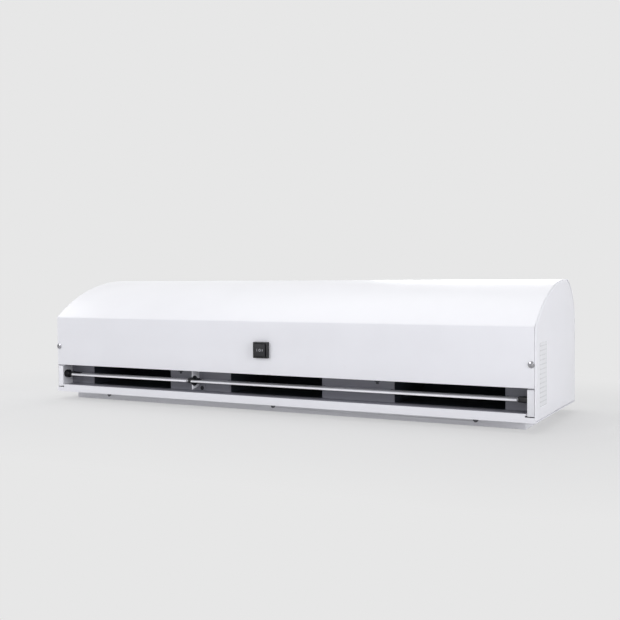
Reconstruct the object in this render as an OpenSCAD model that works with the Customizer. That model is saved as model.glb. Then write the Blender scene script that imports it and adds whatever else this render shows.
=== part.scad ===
// Air curtain: a sheet-metal casing with three double-inlet blowers, drawn as it stands on its wall plate.
// X runs along the casing, -Y is the side that the air leaves by, Z=0 is the wall plate's outer face.

/* [Casing] */
// Length of the casing
case_l = 900; // [880:5:1000]
// Depth of the casing from its front panel to its rear face
case_d = 254; // [250:0.5:265]
// Height of the casing over its own underside
case_h = 203.5; // [202:0.5:212]
// Height of the crease between the front panel and the hood
crease_h = 138; // [130:0.5:146]
// Distance from the hood's rear edge to the casing's rear face
hood_back = 55; // [51:0.5:59]
// Width of the flat strip along the hood's rear edge
hood_flat = 15.4; // [11:0.1:19]
// Radius of the intake grille's curve
rear_r = 80; // [76:0.5:84]
// Thickness of the casing's sheet
sheet_t = 1.2; // [1:0.1:1.5]
// Width of the flanges round each side panel
flange_w = 12.5; // [10:0.5:15]
// Gap left for paint between two sheets that lie on each other
seat_gap = 0.15; // [0.1:0.05:0.3]
// Gap between two sheets that butt
butt_gap = 0.3; // [0.2:0.05:0.6]

/* [Outlet] */
// Height of the lip along the bottom edge
lip_h = 11; // [9:0.5:14]
// Height of the front panel's lower edge
mouth_top = 50; // [46:0.5:56]
// Depth of the outlet recess
mouth_d = 39; // [37:0.5:44]
// Gap between the outlet floor's ends and the side panels
floor_gap = 1.6; // [0.2:0.1:2.5]
// How far the lip's ends are cut down, to let the side flanges in
lip_cut = 3; // [2:0.1:4]

/* [Louvre] */
// Chord of the blades
blade_chord = 26; // [18:0.5:27]
// Thickness of the blades at mid chord
blade_t = 2.4; // [1.8:0.1:3]
// Thickness of the blades at their edges
blade_edge_t = 1; // [0.6:0.1:1.4]
// Distance from the louvre's axis to the outlet's rear wall
louvre_back = 15; // [14:0.5:17]
// Distance of the middle bracket's plate from the middle of the wall between two ports
bracket_shift = -2; // [-20:1:20]
// Radius of the louvre's pivot pins
pin_r = 2; // [1.5:0.25:3]
// Diameter of the pivot bushes
bush_d = 15; // [11:0.5:17]
// Thickness of the two bushes on the middle bracket
bush_t = 4.5; // [3:0.5:7]
// Thickness of the bushes on the side panels
wall_bush_t = 9; // [6:0.5:10]
// Length of the jaws beside the side panels
jaw_l = 22; // [14:1:30]
// Length of the jaws beside the middle bracket
short_jaw_l = 9; // [7:0.5:12]
// Half the height of the jaws where they are thickest
jaw_swell = 5; // [3:0.25:5.5]
// Length of the left blade's narrow end, inside its clip
left_narrow_l = 9.5; // [5:0.5:16]
// Length of the right blade's narrow end, inside its clip
right_narrow_l = 18; // [10:1:24]

/* [Blowers] */
// Radius of the impellers
wheel_r = 55; // [50:0.5:57]
// Gap between an impeller's end and its scroll's side
wheel_gap = 14; // [11:0.5:20]
// Number of blades on an impeller
blade_n = 36; // [24:1:42]
// Radial depth of an impeller's blades
wheel_blade_d = 10.2; // [8:0.2:13]
// Gap between an impeller and the tongue of its scroll
tongue_gap = 5; // [3:0.5:7]
// Radius of a scroll at its outlet
scroll_r = 90; // [86:0.5:93]
// Distance from the blowers' axis to the casing's rear face
axis_back = 126; // [120:0.5:128]
// Room for a motor between two scrolls
motor_room = 126; // [118:1:140]
// Room between an outer scroll and the casing's end
end_room = 54; // [46:1:70]
// Thickness of the scrolls' sheet
scroll_t = 1; // [0.8:0.1:1.4]
// Radius of the scrolls' air inlets
inlet_r = 41; // [36:0.5:42]
// Width of the flange round a scroll's outlet
scroll_flange = 8; // [7:0.5:10]

/* [Motors] */
// Radius of the motors' cans
motor_r = 43; // [38:0.5:44]
// Length of the motors' cans
motor_l = 84; // [70:1:90]
// Radius of the shafts
shaft_r = 4; // [3:0.25:5]
// Radial running clearance in the bearings and louvre bushes
run_gap = 0.05; // [0.02:0.01:0.08]
// Outer radius of the bearings
bearing_r = 11; // [9:0.5:13]
// Width of the bearings
bearing_w = 7; // [5:0.5:9]
// Thickness of the motor cradles' sheet
cradle_t = 2; // [1.5:0.1:2.5]

/* [Switch] */
// Where the switch sits along the casing
switch_x = -2; // [-60:1:60]
// Height of the switch's centre over the casing's underside
switch_z = 91; // [86:0.5:100]
// Width of the switch's bezel
switch_w = 27.5; // [24:0.5:32]
// Height of the switch's bezel
switch_h = 26.5; // [22:0.5:28]
// How far the bezel stands out of the front panel
switch_proud = 6.5; // [3:0.1:8]
// How far the rocker stands out of the bezel at its ends
rocker_proud = 1.8; // [1:0.1:2.5]
// How far the rocker tips each way
rocker_tilt = 11; // [8:1:13]

/* [Wall plate] */
// Distance from the casing's ends to the wall plate's ends
plate_inset = 22; // [18:1:50]
// Depth of the space between the wall and the casing
plate_h = 14.5; // [12:0.5:20]
// Distance from the front panel to the wall plate's front flange
plate_y = 31; // [26:0.5:40]
// Distance from the wall plate's rear flange to the casing's rear face
plate_back = 70; // [64:0.5:78]
// Thickness of the wall plate's sheet
plate_t = 1.5; // [1.2:0.1:2]
// Distance between wall holes along the casing
hole_pitch_x = 700; // [500:10:760]
// Distance between wall holes across the casing
hole_pitch_y = 120; // [80:5:130]
// Radius of the wall holes
hole_r = 3.5; // [2.5:0.25:4.5]

/* [Fasteners] */
// Radius of the casing screws' heads
head_r = 5; // [4:0.25:5.5]
// Height of the casing screws' heads
head_h = 2.2; // [1.6:0.1:3]
// Radius of the casing screws' threads
screw_r = 2; // [1.5:0.1:2.5]
// Length of the casing screws' threads
screw_l = 7; // [5:0.5:9]

/* [Wiring] */
// Radius of the wiring harness
harness_r = 3.2; // [2.4:0.2:3.6]
// Radius of the cable's way through the grommet
cable_r = 4.5; // [3.5:0.25:5.5]

/* [Hidden] */
$fn = 48;

// Places that several pieces share, in the casing's own frame: Y=0 is the front panel, Z=0 the underside.
half_l = case_l / 2;
front_y = -(case_d + head_h - switch_proud - rocker_proud) / 2;
arc_steps = 360;
hood_end_y = case_d - hood_back;
hood_top_y = hood_end_y - hood_flat;
hood_r = (pow(case_h - crease_h, 2) + pow(hood_top_y, 2)) / (2 * (case_h - crease_h));
rear_cy = case_d - rear_r;
rear_cz = case_h - sqrt(pow(rear_r, 2) - pow(hood_end_y - rear_cy, 2));
far = case_d + case_h;
liner = sheet_t + seat_gap;
side_in = half_l - sheet_t - seat_gap;
flange_in = half_l - flange_w;
deck_x = flange_in - 2 * butt_gap;
mouth_mid = (lip_h + mouth_top) / 2;
lip_end_h = lip_h - lip_cut;

// The three blowers share the casing's length: each scroll gets what the motors and the ends leave.
port_w = (case_l - 2 * motor_room - 2 * end_room) / 3 - 2 * scroll_t;
blower_pitch = port_w + 2 * scroll_t + motor_room;
wheel_w = port_w - 2 * wheel_gap;
axis_y = case_d - axis_back;
bracket_x = bracket_shift - blower_pitch / 2;

// The louvre: a bush on each side panel and one through the middle bracket carry its pins.
wall_x = half_l - sheet_t;
louvre_y = mouth_d - louvre_back;
bracket_t = 1.5;
bracket_gap = 0.3;
hub_t = 4;
hub_r = 5;
blade_grow = 0.1;
blade_steps = 12;
mid_left_x = bracket_x - bracket_t / 2 - bush_t;
mid_right_x = bracket_x + bracket_t / 2 + bush_t;
end_x = wall_x - wall_bush_t;
blade_inset = bracket_gap + hub_t + blade_grow;
nose_w = (blade_chord - bush_d) / 2 - 0.5;
nose_x = bracket_x + bracket_t / 2 + bracket_gap;

// The blowers: the scroll widens evenly from its tongue, all round the wheel, to its floor.
axis_z = lip_h + scroll_r;
tongue_r = wheel_r + tongue_gap;
tongue_a = asin((axis_z - mouth_top) / tongue_r);
scroll_turn = 360 - (90 - tongue_a);
duct_y = mouth_d + sheet_t + seat_gap;
blower_x = [-blower_pitch, 0, blower_pitch];
motor_x = [-blower_pitch / 2, blower_pitch / 2];
scroll_half = port_w / 2 + scroll_t;
inlet_round = 3.5;
inlet_throat = 7;
inlet_collar = 6;
wheel_ring_t = 1.5;
wheel_blade_t = 0.9;
hub_len = 34;
hub_outer_r = 11;
bell_t = 3;
boss_len = 6;
can_t = 1.5;
core_l = 50;
core_r = 24;
air_gap = 0.5;
cradle_x = 20;
strap_t = 1.2;
strap_w = 16;
ear_l = 14;
strap_bolt_y = motor_r + 2 + ear_l / 2;
bell_x = motor_l / 2 + boss_len;
shaft_over = hub_len / 2 + 4;

// Fasteners and what they hold.
hole_gap = 0.2;
cover_screw_x = half_l - 6;
cover_screw_z = 84;
plate_l = case_l - 2 * plate_inset;
plate_d = case_d - plate_y - plate_back;
plate_screw_end = 76;
plate_screw_pitch = plate_l / 2 - plate_screw_end;
plate_screw_z = -5;
hook_l = 9;

// The harness runs over the outlet deck, behind the front panel.
harness_y = 30;
harness_z = mouth_top + sheet_t + 16;
harness_end_x = half_l - 28;
elbow_r = 10;
harness_motor_y = axis_y - sqrt(pow(motor_r, 2) - pow(axis_z - harness_z - 0.8 * harness_r, 2)) - 0.3;
clip_x = [-4, 4.5, 12, 19] * case_l / 45;
clip_half = 4;
clip_t = 1.4;
clip_foot = 14;
terminal_y = 96;
terminal_h = 20;
capacitor_y = case_d - 54;
capacitor_l = 36;
capacitor_w = 17;
capacitor_h = 26;
capacitor_lug = 8;
lug_t = 1.5;
lug_edge = 2;
grommet_wall = 2.5;
grommet_x = half_l - 50;
grommet_z = 44;

// The wall plate's rear edge carries a hook, and the underside's two flanges hang over it.
rear_hook_y = plate_y + plate_d;
plate_mid_y = plate_y + plate_d / 2;
hang_x = plate_l / 2 - plate_t - butt_gap;
hang_y = plate_y + plate_t + seat_gap;
hang_rear_y = rear_hook_y + hook_l + butt_gap;

// The intake side: the grille ends in a straight skirt, screwed with the rear panel's tongue behind it.
skirt_h = 12;
rear_lap = 10;
rear_join = 8;
rear_hem = 4;
screw_edge = 5;
split_z = rear_cz - skirt_h;
tongue_l = 14;
hood_screw_y = hood_end_y - 7;
hood_screw_x = [-1.5, -0.5, 0.5, 1.5] * 0.26 * case_l;
rear_screw_x = [-2, -1, 0, 1, 2] * 0.22 * case_l;
rear_screw_low = lip_h - 2;
rear_screw_high = split_z + screw_edge;
slot_w = 6;
slot_pitch = 14;
slot_n = floor((2 * flange_in - 20) / slot_pitch);
slot_low_a = 18;
slot_high_a = acos((hood_end_y - rear_cy) / rear_r) - 3;
slot_mid_a = (slot_low_a + slot_high_a) / 2;
slot_rows = [[slot_low_a, slot_mid_a - 3], [slot_mid_a + 3, slot_high_a]];
vent_n = floor(0.78 * slot_n);
vent_z = 40;
vent_l = 42;

// Screws and bolts in the outlet deck.
deck_bolt_y = 18;
deck_bolt_end = 4;
deck_bolt_x = [-blower_pitch / 2 - 26, blower_pitch / 2 + 44];
bracket_screw_x = bracket_x + 7.5;
bracket_screw_z = lip_h + 5.5;
scroll_screw_x = port_w / 2 + scroll_flange / 2;

// The rocker turns on two pins that lie upright in the switch's housing.
rocker_w = switch_w - 6;
rocker_h = switch_h - 6.5;
rocker_gap = 0.35;
front_gap = 0.05;
rocker_axis_y = -switch_proud + 5;
rocker_pin_r = 1.5;
rocker_pin_l = 1.6;
body_depth = 22;
tab_z = switch_z - 6;

module in_case() {
    translate([0, front_y, plate_h]) children();
}

module box(low, high) {
    translate(low) cube(high - low);
}

module area(low, high) {
    translate(low) square(high - low);
}

// A YZ outline, drawn out along X from x0 to x1.
module along_x(x0, x1) {
    translate([x0, 0, 0]) rotate([90, 0, 90]) linear_extrude(x1 - x0) children();
}

module rod_x(x0, x1, y, z, r) {
    translate([x0, y, z]) rotate([0, 90, 0]) cylinder(r = r, h = x1 - x0);
}

module rod_y(x, y0, y1, z, r) {
    translate([x, y0, z]) rotate([-90, 0, 0]) cylinder(r = r, h = y1 - y0);
}

// The casing's outline, moved inwards by inset: the hood's arc in front and the grille's arc behind.
module case_outline(inset) {
    intersection() {
        area([inset, inset], [case_d - inset, case_h - inset]);
        union() {
            translate([hood_top_y, case_h - hood_r]) circle(r = hood_r - inset, $fn = arc_steps);
            area([hood_top_y, 0], [far, far]);
        }
        union() {
            translate([rear_cy, rear_cz]) circle(r = rear_r - inset, $fn = arc_steps);
            area([0, 0], [far, rear_cz]);
            area([0, 0], [hood_top_y, far]);
        }
    }
}

// One layer of sheet that follows the casing's outline.
module case_layer(inset, thickness) {
    difference() {
        case_outline(inset);
        case_outline(inset + thickness);
    }
}

// A pan-head screw that lies along -Z, with its head's underside at z=0.
module pan_screw(length = screw_l, radius = screw_r, head = head_r, height = head_h) {
    translate([0, 0, -length]) cylinder(r = radius, h = length);
    difference() {
        intersection() {
            cylinder(r = head, h = height);
            translate([0, 0, height - 2 * head]) sphere(r = 2 * head);
        }
        for (turn = [0, 90]) rotate(turn) translate([-0.55 * head, -0.12 * head, 0.55 * height])
            cube([1.1 * head, 0.24 * head, height]);
    }
}

// ---- wall plate ----

module wall_plate_profile() {
    area([plate_y, -plate_h], [rear_hook_y, plate_t - plate_h]);
    area([plate_y, -plate_h], [plate_y + plate_t, -butt_gap]);
    area([rear_hook_y - plate_t, -plate_h], [rear_hook_y, -butt_gap - sheet_t]);
    area([rear_hook_y - plate_t, -butt_gap - sheet_t - plate_t], [rear_hook_y + hook_l, -butt_gap - sheet_t]);
}

module wall_plate() {
    in_case() color("gainsboro") difference() {
        union() {
            along_x(-plate_l / 2, plate_l / 2) wall_plate_profile();
            for (x = [-plate_l / 2, plate_l / 2 - plate_t])
                box([x, plate_y, -plate_h], [x + plate_t, rear_hook_y, -butt_gap]);
        }
        for (x = [-1, 1], y = [-1, 1])
            translate([x * hole_pitch_x / 2, plate_mid_y + y * hole_pitch_y / 2, -plate_h - 1])
                cylinder(r = hole_r, h = plate_t + 2);
        for (i = [-1, 0, 1])
            rod_y(i * plate_screw_pitch, plate_y - 1, hang_y, plate_screw_z, screw_r + hole_gap);
    }
}

module plate_screws() {
    in_case() color("silver") for (i = [-1, 0, 1])
        translate([i * plate_screw_pitch, plate_y, plate_screw_z]) rotate([90, 0, 0])
            pan_screw(screw_l, screw_r, 0.8 * head_r, head_h);
}

// ---- casing ----

// Underside, lip and outlet floor are one folded sheet, with the two flanges that hang on the wall plate.
module back_panel() {
    sheet_rear = case_d - liner;
    in_case() color("whitesmoke") difference() {
        union() {
            along_x(-half_l, half_l) {
                area([0, 0], [sheet_rear, sheet_t]);
                area([0, 0], [sheet_t, lip_h]);
            }
            along_x(floor_gap - wall_x, wall_x - floor_gap)
                area([0, lip_h - sheet_t], [mouth_d - seat_gap, lip_h]);
            along_x(-deck_x, deck_x) area([sheet_rear - sheet_t, 0], [sheet_rear, lip_h + rear_hem]);
            along_x(-hang_x, hang_x) {
                area([hang_y, -plate_h + plate_t + butt_gap], [hang_y + sheet_t, sheet_t]);
                area([hang_rear_y, -plate_h + plate_t + butt_gap], [hang_rear_y + sheet_t, sheet_t]);
                area([rear_hook_y + butt_gap, -plate_h + plate_t + butt_gap],
                     [hang_rear_y + sheet_t, -plate_h + plate_t + butt_gap + sheet_t]);
            }
        }
        for (x = [-half_l - 1, flange_in - lip_cut])
            box([x, -1, lip_end_h], [x + flange_w + lip_cut + 1, liner + sheet_t + butt_gap, lip_h + 1]);
        for (i = [-1, 0, 1])
            rod_y(i * plate_screw_pitch, hang_y - 1, hang_y + sheet_t + 1, plate_screw_z, screw_r + hole_gap);
        for (x = rear_screw_x)
            rod_y(x, sheet_rear - sheet_t - 1, sheet_rear + 1, rear_screw_low, screw_r + hole_gap);
    }
}

// A side panel with flanges turned in all round. The front one ends in the cut at the lip's end.
module side_panel() {
    difference() {
        union() {
            along_x(half_l - sheet_t, half_l) case_outline(liner);
            along_x(half_l - flange_w, half_l) case_layer(liner, sheet_t);
        }
        box([half_l - flange_w - 1, 0, -1], [half_l - sheet_t, hang_y + 10, lip_end_h + butt_gap]);
        rod_y(cover_screw_x, 0, 2 * liner + 1, cover_screw_z, screw_r + hole_gap);
    }
}

module left_side_panel() {
    in_case() color("whitesmoke") mirror([1, 0, 0]) side_panel();
}

module right_side_panel() {
    in_case() color("whitesmoke") side_panel();
}

module front_cover() {
    in_case() color("white") difference() {
        along_x(-half_l, half_l) intersection() {
            case_layer(0, sheet_t);
            area([-1, mouth_top], [hood_end_y, far]);
        }
        box([switch_x - switch_w / 2 + 2, -1, switch_z - switch_h / 2 + 2],
            [switch_x + switch_w / 2 - 2, liner, switch_z + switch_h / 2 - 2]);
        for (s = [-1, 1]) rod_y(s * cover_screw_x, -1, liner, cover_screw_z, screw_r + hole_gap);
        for (x = hood_screw_x) translate([x, hood_screw_y, case_h - sheet_t])
            cylinder(r1 = screw_r + hole_gap, r2 = screw_r + sheet_t + hole_gap, h = sheet_t + 0.001);
    }
}

// One slot of the grille: a sector of the curve between two angles over the horizontal.
module slot_sector(a0, a1) {
    reach = 1.1 * rear_r;
    translate([rear_cy, rear_cz]) intersection() {
        difference() {
            circle(r = reach);
            circle(r = 0.8 * rear_r);
        }
        polygon([[0, 0], reach * 1.4 * [cos(a0), sin(a0)], reach * 1.4 * [cos(a1), sin(a1)]]);
    }
}

module intake_grille() {
    in_case() color("whitesmoke") difference() {
        union() {
            along_x(-half_l, half_l) intersection() {
                case_layer(0, sheet_t);
                area([hood_end_y + butt_gap, split_z], [far, far]);
            }
            along_x(-deck_x, deck_x) intersection() {
                case_layer(0, liner + sheet_t);
                area([hood_end_y + butt_gap, rear_cz], [hood_end_y + butt_gap + sheet_t, far]);
            }
            along_x(-deck_x, deck_x) intersection() {
                case_layer(liner, sheet_t);
                area([hood_end_y - tongue_l, rear_cz], [hood_end_y + butt_gap + sheet_t, far]);
            }
        }
        for (x = rear_screw_x)
            rod_y(x, case_d - 2 * sheet_t, case_d + 1, rear_screw_high, screw_r + hole_gap);
        for (i = [0:slot_n - 1], row = slot_rows) {
            x = (i - (slot_n - 1) / 2) * slot_pitch;
            along_x(x - slot_w / 2, x + slot_w / 2) slot_sector(row[0], row[1]);
        }
        for (x = hood_screw_x) translate([x, hood_screw_y, case_h - 3 * sheet_t])
            cylinder(r = screw_r + hole_gap, h = 3 * sheet_t);
    }
}

module rear_panel() {
    inner_y = case_d - liner - sheet_t;
    in_case() color("whitesmoke") difference() {
        union() {
            box([-half_l, case_d - sheet_t, 0], [half_l, case_d, split_z - butt_gap]);
            box([-deck_x, inner_y, split_z - 2 * rear_join], [deck_x, case_d - sheet_t, split_z - rear_join]);
            box([-deck_x, inner_y, split_z - 2 * rear_join], [deck_x, inner_y + sheet_t, split_z + rear_lap]);
        }
        for (x = rear_screw_x, z = [rear_screw_low, rear_screw_high])
            rod_y(x, inner_y - 1, case_d + 1, z, screw_r + hole_gap);
        rod_y(grommet_x, inner_y - 1, case_d + 1, grommet_z, cable_r + grommet_wall);
        for (i = [0:vent_n - 1]) {
            x = (i - (vent_n - 1) / 2) * slot_pitch;
            box([x - slot_w / 2, inner_y - 1, vent_z], [x + slot_w / 2, case_d + 1, vent_z + vent_l]);
        }
    }
}

// The outlet recess: rear wall with three ports, ceiling, and a foot and a hem that fasten it.
module outlet_deck() {
    in_case() color("lightgray") difference() {
        union() {
            along_x(-side_in, side_in) {
                area([mouth_d, sheet_t], [mouth_d + sheet_t, mouth_top + sheet_t]);
                area([2 * liner, mouth_top], [mouth_d + sheet_t, mouth_top + sheet_t]);
            }
            along_x(-deck_x, deck_x) {
                area([mouth_d, sheet_t], [mouth_d + 12, 2 * sheet_t]);
                area([liner, mouth_top], [2 * liner, mouth_top + sheet_t]);
                area([liner, mouth_top], [liner + sheet_t, mouth_top + 12]);
            }
        }
        for (x = blower_x)
            box([x - port_w / 2, mouth_d - 1, lip_h], [x + port_w / 2, mouth_d + 2 * sheet_t, mouth_top]);
        for (x = deck_bolt_x) translate([x, deck_bolt_y, mouth_top - 1])
            cylinder(r = screw_r + hole_gap, h = 3 * sheet_t);
        rod_y(bracket_screw_x, mouth_d - 1, mouth_d + 2 * sheet_t, bracket_screw_z, screw_r + hole_gap);
        for (x = blower_x, s = [-1, 1])
            rod_y(x + s * scroll_screw_x, mouth_d - 1, mouth_d + 2 * sheet_t, mouth_mid, screw_r + hole_gap);
    }
}

module cover_screws() {
    in_case() color("silver") for (s = [-1, 1])
        translate([s * cover_screw_x, 0, cover_screw_z]) rotate([90, 0, 0]) pan_screw(screw_l / 2);
}

// Countersunk screws, flush with the hood.
module hood_screws() {
    slot_depth = 0.5 * sheet_t;
    in_case() color("silver") for (x = hood_screw_x) translate([x, hood_screw_y, case_h]) difference() {
        union() {
            translate([0, 0, -screw_l]) cylinder(r = screw_r - 0.1, h = screw_l - 0.1);
            translate([0, 0, -sheet_t]) cylinder(r1 = screw_r, r2 = screw_r + sheet_t, h = sheet_t);
        }
        box([-screw_r - 0.4, -0.3, -slot_depth], [screw_r + 0.4, 0.3, 1]);
    }
}

module rear_screws() {
    in_case() color("silver") for (x = rear_screw_x, z = [rear_screw_low, rear_screw_high])
        translate([x, case_d, z]) rotate([-90, 0, 0]) pan_screw(screw_l);
}

module deck_bolts() {
    nut_h = 1.6 * head_h;
    in_case() color("dimgray") for (x = deck_bolt_x) translate([x, deck_bolt_y, mouth_top]) {
        rotate([180, 0, 0]) cylinder(r = head_r, h = nut_h, $fn = 6);
        cylinder_from(-nut_h - deck_bolt_end, screw_l, screw_r);
    }
}

// These screws come from behind, so that the outlet's wall stays smooth.
module scroll_screws() {
    grip = duct_y + scroll_t - mouth_d;
    in_case() color("dimgray") for (x = blower_x, s = [-1, 1])
        translate([x + s * scroll_screw_x, duct_y + scroll_t, mouth_mid]) rotate([-90, 0, 0])
            pan_screw(grip, screw_r, 0.6 * head_r, 0.8 * head_h);
}

// ---- blowers ----

// The scroll's spiral, grown outwards by wall.
function spiral(wall) = [
    for (turn = [0:scroll_turn / 41:scroll_turn + 0.01])
        let (r = tongue_r + (scroll_r - tongue_r) * turn / scroll_turn + wall, a = 180 + tongue_a - turn)
            [axis_y + r * cos(a), axis_z + r * sin(a)]
];

module scroll_outline(wall) {
    polygon(spiral(wall));
    area([duct_y, lip_h - wall], [axis_y, mouth_top + wall]);
}

module scroll(x) {
    in_case() color("#26282b") translate([x, 0, 0]) difference() {
        union() {
            along_x(-scroll_half, scroll_half) scroll_outline(scroll_t);
            along_x(-scroll_half - scroll_flange, scroll_half + scroll_flange)
                area([duct_y, lip_h - scroll_t], [duct_y + scroll_t, mouth_top + scroll_flange]);
        }
        along_x(-port_w / 2, port_w / 2) {
            scroll_outline(0);
            area([duct_y - 1, lip_h], [axis_y, mouth_top]);
        }
        rod_x(-scroll_half - 1, scroll_half + 1, axis_y, axis_z, inlet_r + inlet_round);
        for (s = [-1, 1])
            rod_y(s * scroll_screw_x, duct_y - 1, duct_y + scroll_t + 1, mouth_mid, screw_r + hole_gap);
    }
}

module scroll_left() { scroll(blower_x[0]); }
module scroll_mid() { scroll(blower_x[1]); }
module scroll_right() { scroll(blower_x[2]); }

// A bellmouth: a flat collar on the scroll's side, rounded into a throat that leads into the wheel.
module inlet_ring() {
    throat_r = inlet_r - scroll_t;
    face_z = -seat_gap - scroll_t;
    rotate_extrude() {
        area([throat_r, face_z + inlet_round], [inlet_r, inlet_throat]);
        area([throat_r + inlet_round, face_z], [inlet_r + inlet_round + inlet_collar, -seat_gap]);
        intersection() {
            area([throat_r, face_z], [throat_r + inlet_round, face_z + inlet_round]);
            translate([throat_r + inlet_round, face_z + inlet_round]) difference() {
                circle(r = inlet_round);
                circle(r = inlet_round - scroll_t);
            }
        }
    }
}

module inlet_rings() {
    in_case() color("#3a3d41") for (x = blower_x, s = [0, 1]) translate([x, axis_y, axis_z])
        mirror([s, 0, 0]) translate([-scroll_half, 0, 0]) rotate([0, 90, 0]) inlet_ring();
}

// One blade's section: a scoop between the wheel's inner and outer radius, with its tip leading.
function blade_section(inner, outer, thickness, hollow, lead) = let (
    steps = 4,
    mid = [
        for (i = [0:steps])
            [inner + (outer - inner) * i / steps, hollow * sin(180 * i / steps) - lead * i / steps]
    ]
) concat(
    [for (p = mid) p - [0, thickness / 2]],
    [for (i = [steps:-1:0]) mid[i] + [0, thickness / 2]]
);

module wheel_blades() {
    for (i = [0:blade_n - 1]) rotate(i * 360 / blade_n)
        polygon(blade_section(wheel_r - wheel_blade_d, wheel_r - 0.6, wheel_blade_t, 1.1, 3));
}

// A double-inlet wheel: blades between two end rings, with a disc and a hub in the middle.
module impeller(x) {
    half = wheel_w / 2;
    in_case() color("#d9d9d6") translate([x, axis_y, axis_z]) rotate([90, 0, 90]) difference() {
        union() {
            translate([0, 0, -half + wheel_ring_t / 2]) linear_extrude(wheel_w - wheel_ring_t) wheel_blades();
            for (z = [-half, half - wheel_ring_t]) difference() {
                cylinder_from(z, z + wheel_ring_t, wheel_r);
                cylinder_from(z - 1, z + wheel_ring_t + 1, wheel_r - wheel_blade_d - 0.5);
            }
            translate([0, 0, -wheel_ring_t / 2]) cylinder(r = wheel_r - 0.3, h = wheel_ring_t);
            translate([0, 0, -hub_len / 2]) cylinder(r = hub_outer_r, h = hub_len);
        }
        translate([0, 0, -hub_len]) cylinder(r = shaft_r + run_gap, h = 2 * hub_len);
        for (s = [-1, 1]) translate([0, 0, s * hub_len / 4]) rotate([-90, 0, 0])
            cylinder(r = screw_r, h = hub_outer_r + 1);
    }
}

module impeller_left() { impeller(blower_x[0]); }
module impeller_mid() { impeller(blower_x[1]); }
module impeller_right() { impeller(blower_x[2]); }

// ---- motors ----

module shaft(x0, x1) {
    in_case() color("silver") rod_x(x0, x1, axis_y, axis_z, shaft_r);
}

module shaft_a() { shaft(blower_x[0] - shaft_over, blower_x[1] + shaft_over); }
module shaft_b() { shaft(motor_x[1] - bell_x - 3, blower_x[2] + shaft_over); }

module hub_grub(x) {
    for (s = [-1, 1]) translate([x + s * hub_len / 4, axis_y, axis_z + shaft_r + run_gap])
        cylinder(r = screw_r - 0.02, h = hub_outer_r - shaft_r - 1);
}

module hub_grubs_a() {
    in_case() color("dimgray") for (i = [0, 1]) hub_grub(blower_x[i]);
}

module hub_grubs_b() {
    in_case() color("dimgray") hub_grub(blower_x[2]);
}

module motor_can(x) {
    in_case() color("silver") translate([x, axis_y, axis_z]) rotate([0, 90, 0]) difference() {
        cylinder(r = motor_r, h = motor_l - 2 * bell_t, center = true);
        cylinder(r = motor_r - can_t, h = motor_l, center = true);
    }
}

module motor_can_a() { motor_can(motor_x[0]); }
module motor_can_b() { motor_can(motor_x[1]); }

// An end bell: a disc with cooling holes and a boss that seats the bearing.
module motor_bell() {
    boss_r = bearing_r + 3;
    vent_r = (motor_r + boss_r) / 2;
    difference() {
        union() {
            translate([0, 0, motor_l / 2 - bell_t]) cylinder(r = motor_r, h = bell_t);
            cylinder_from(motor_l / 2 - bell_t, bell_x, boss_r);
            translate([0, 0, motor_l / 2 - 2 * bell_t]) difference() {
                cylinder(r = motor_r - can_t - 0.1, h = bell_t);
                translate([0, 0, -1]) cylinder(r = motor_r - can_t - 2.5, h = bell_t + 2);
            }
        }
        cylinder_from(0, bell_x - 1, bearing_r);
        cylinder_from(0, bell_x + 1, shaft_r + 1.5);
        for (i = [0:7]) rotate(i * 45) translate([vent_r, 0, 0]) cylinder(r = 4, h = far);
    }
}

module cylinder_from(z0, z1, r) {
    translate([0, 0, z0]) cylinder(r = r, h = z1 - z0);
}

module motor_ends(x) {
    in_case() color("#b8babd") translate([x, axis_y, axis_z]) rotate([0, 90, 0]) {
        motor_bell();
        mirror([0, 0, 1]) motor_bell();
    }
}

module motor_ends_a() { motor_ends(motor_x[0]); }
module motor_ends_b() { motor_ends(motor_x[1]); }

module stator(x) {
    in_case() color("#8a5a32") translate([x, axis_y, axis_z]) rotate([0, 90, 0]) difference() {
        cylinder(r = motor_r - can_t - 0.1, h = core_l, center = true);
        cylinder(r = core_r + air_gap, h = core_l + 2, center = true);
    }
}

module stator_a() { stator(motor_x[0]); }
module stator_b() { stator(motor_x[1]); }

module rotor_core(x) {
    in_case() color("slategray") translate([x, axis_y, axis_z]) rotate([0, 90, 0]) difference() {
        cylinder(r = core_r, h = core_l, center = true);
        cylinder(r = shaft_r + 0.02, h = core_l + 2, center = true);
    }
}

module rotor_core_a() { rotor_core(motor_x[0]); }
module rotor_core_b() { rotor_core(motor_x[1]); }

module motor_bearings() {
    in_case() color("silver") for (x = motor_x, s = [0, 1]) translate([x, axis_y, axis_z])
        mirror([s, 0, 0]) rotate([0, 90, 0]) difference() {
            cylinder_from(bell_x - 1 - bearing_w, bell_x - 1, bearing_r - 0.02);
            cylinder_from(bell_x - 3 - bearing_w, bell_x, shaft_r + run_gap);
        }
}

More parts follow.
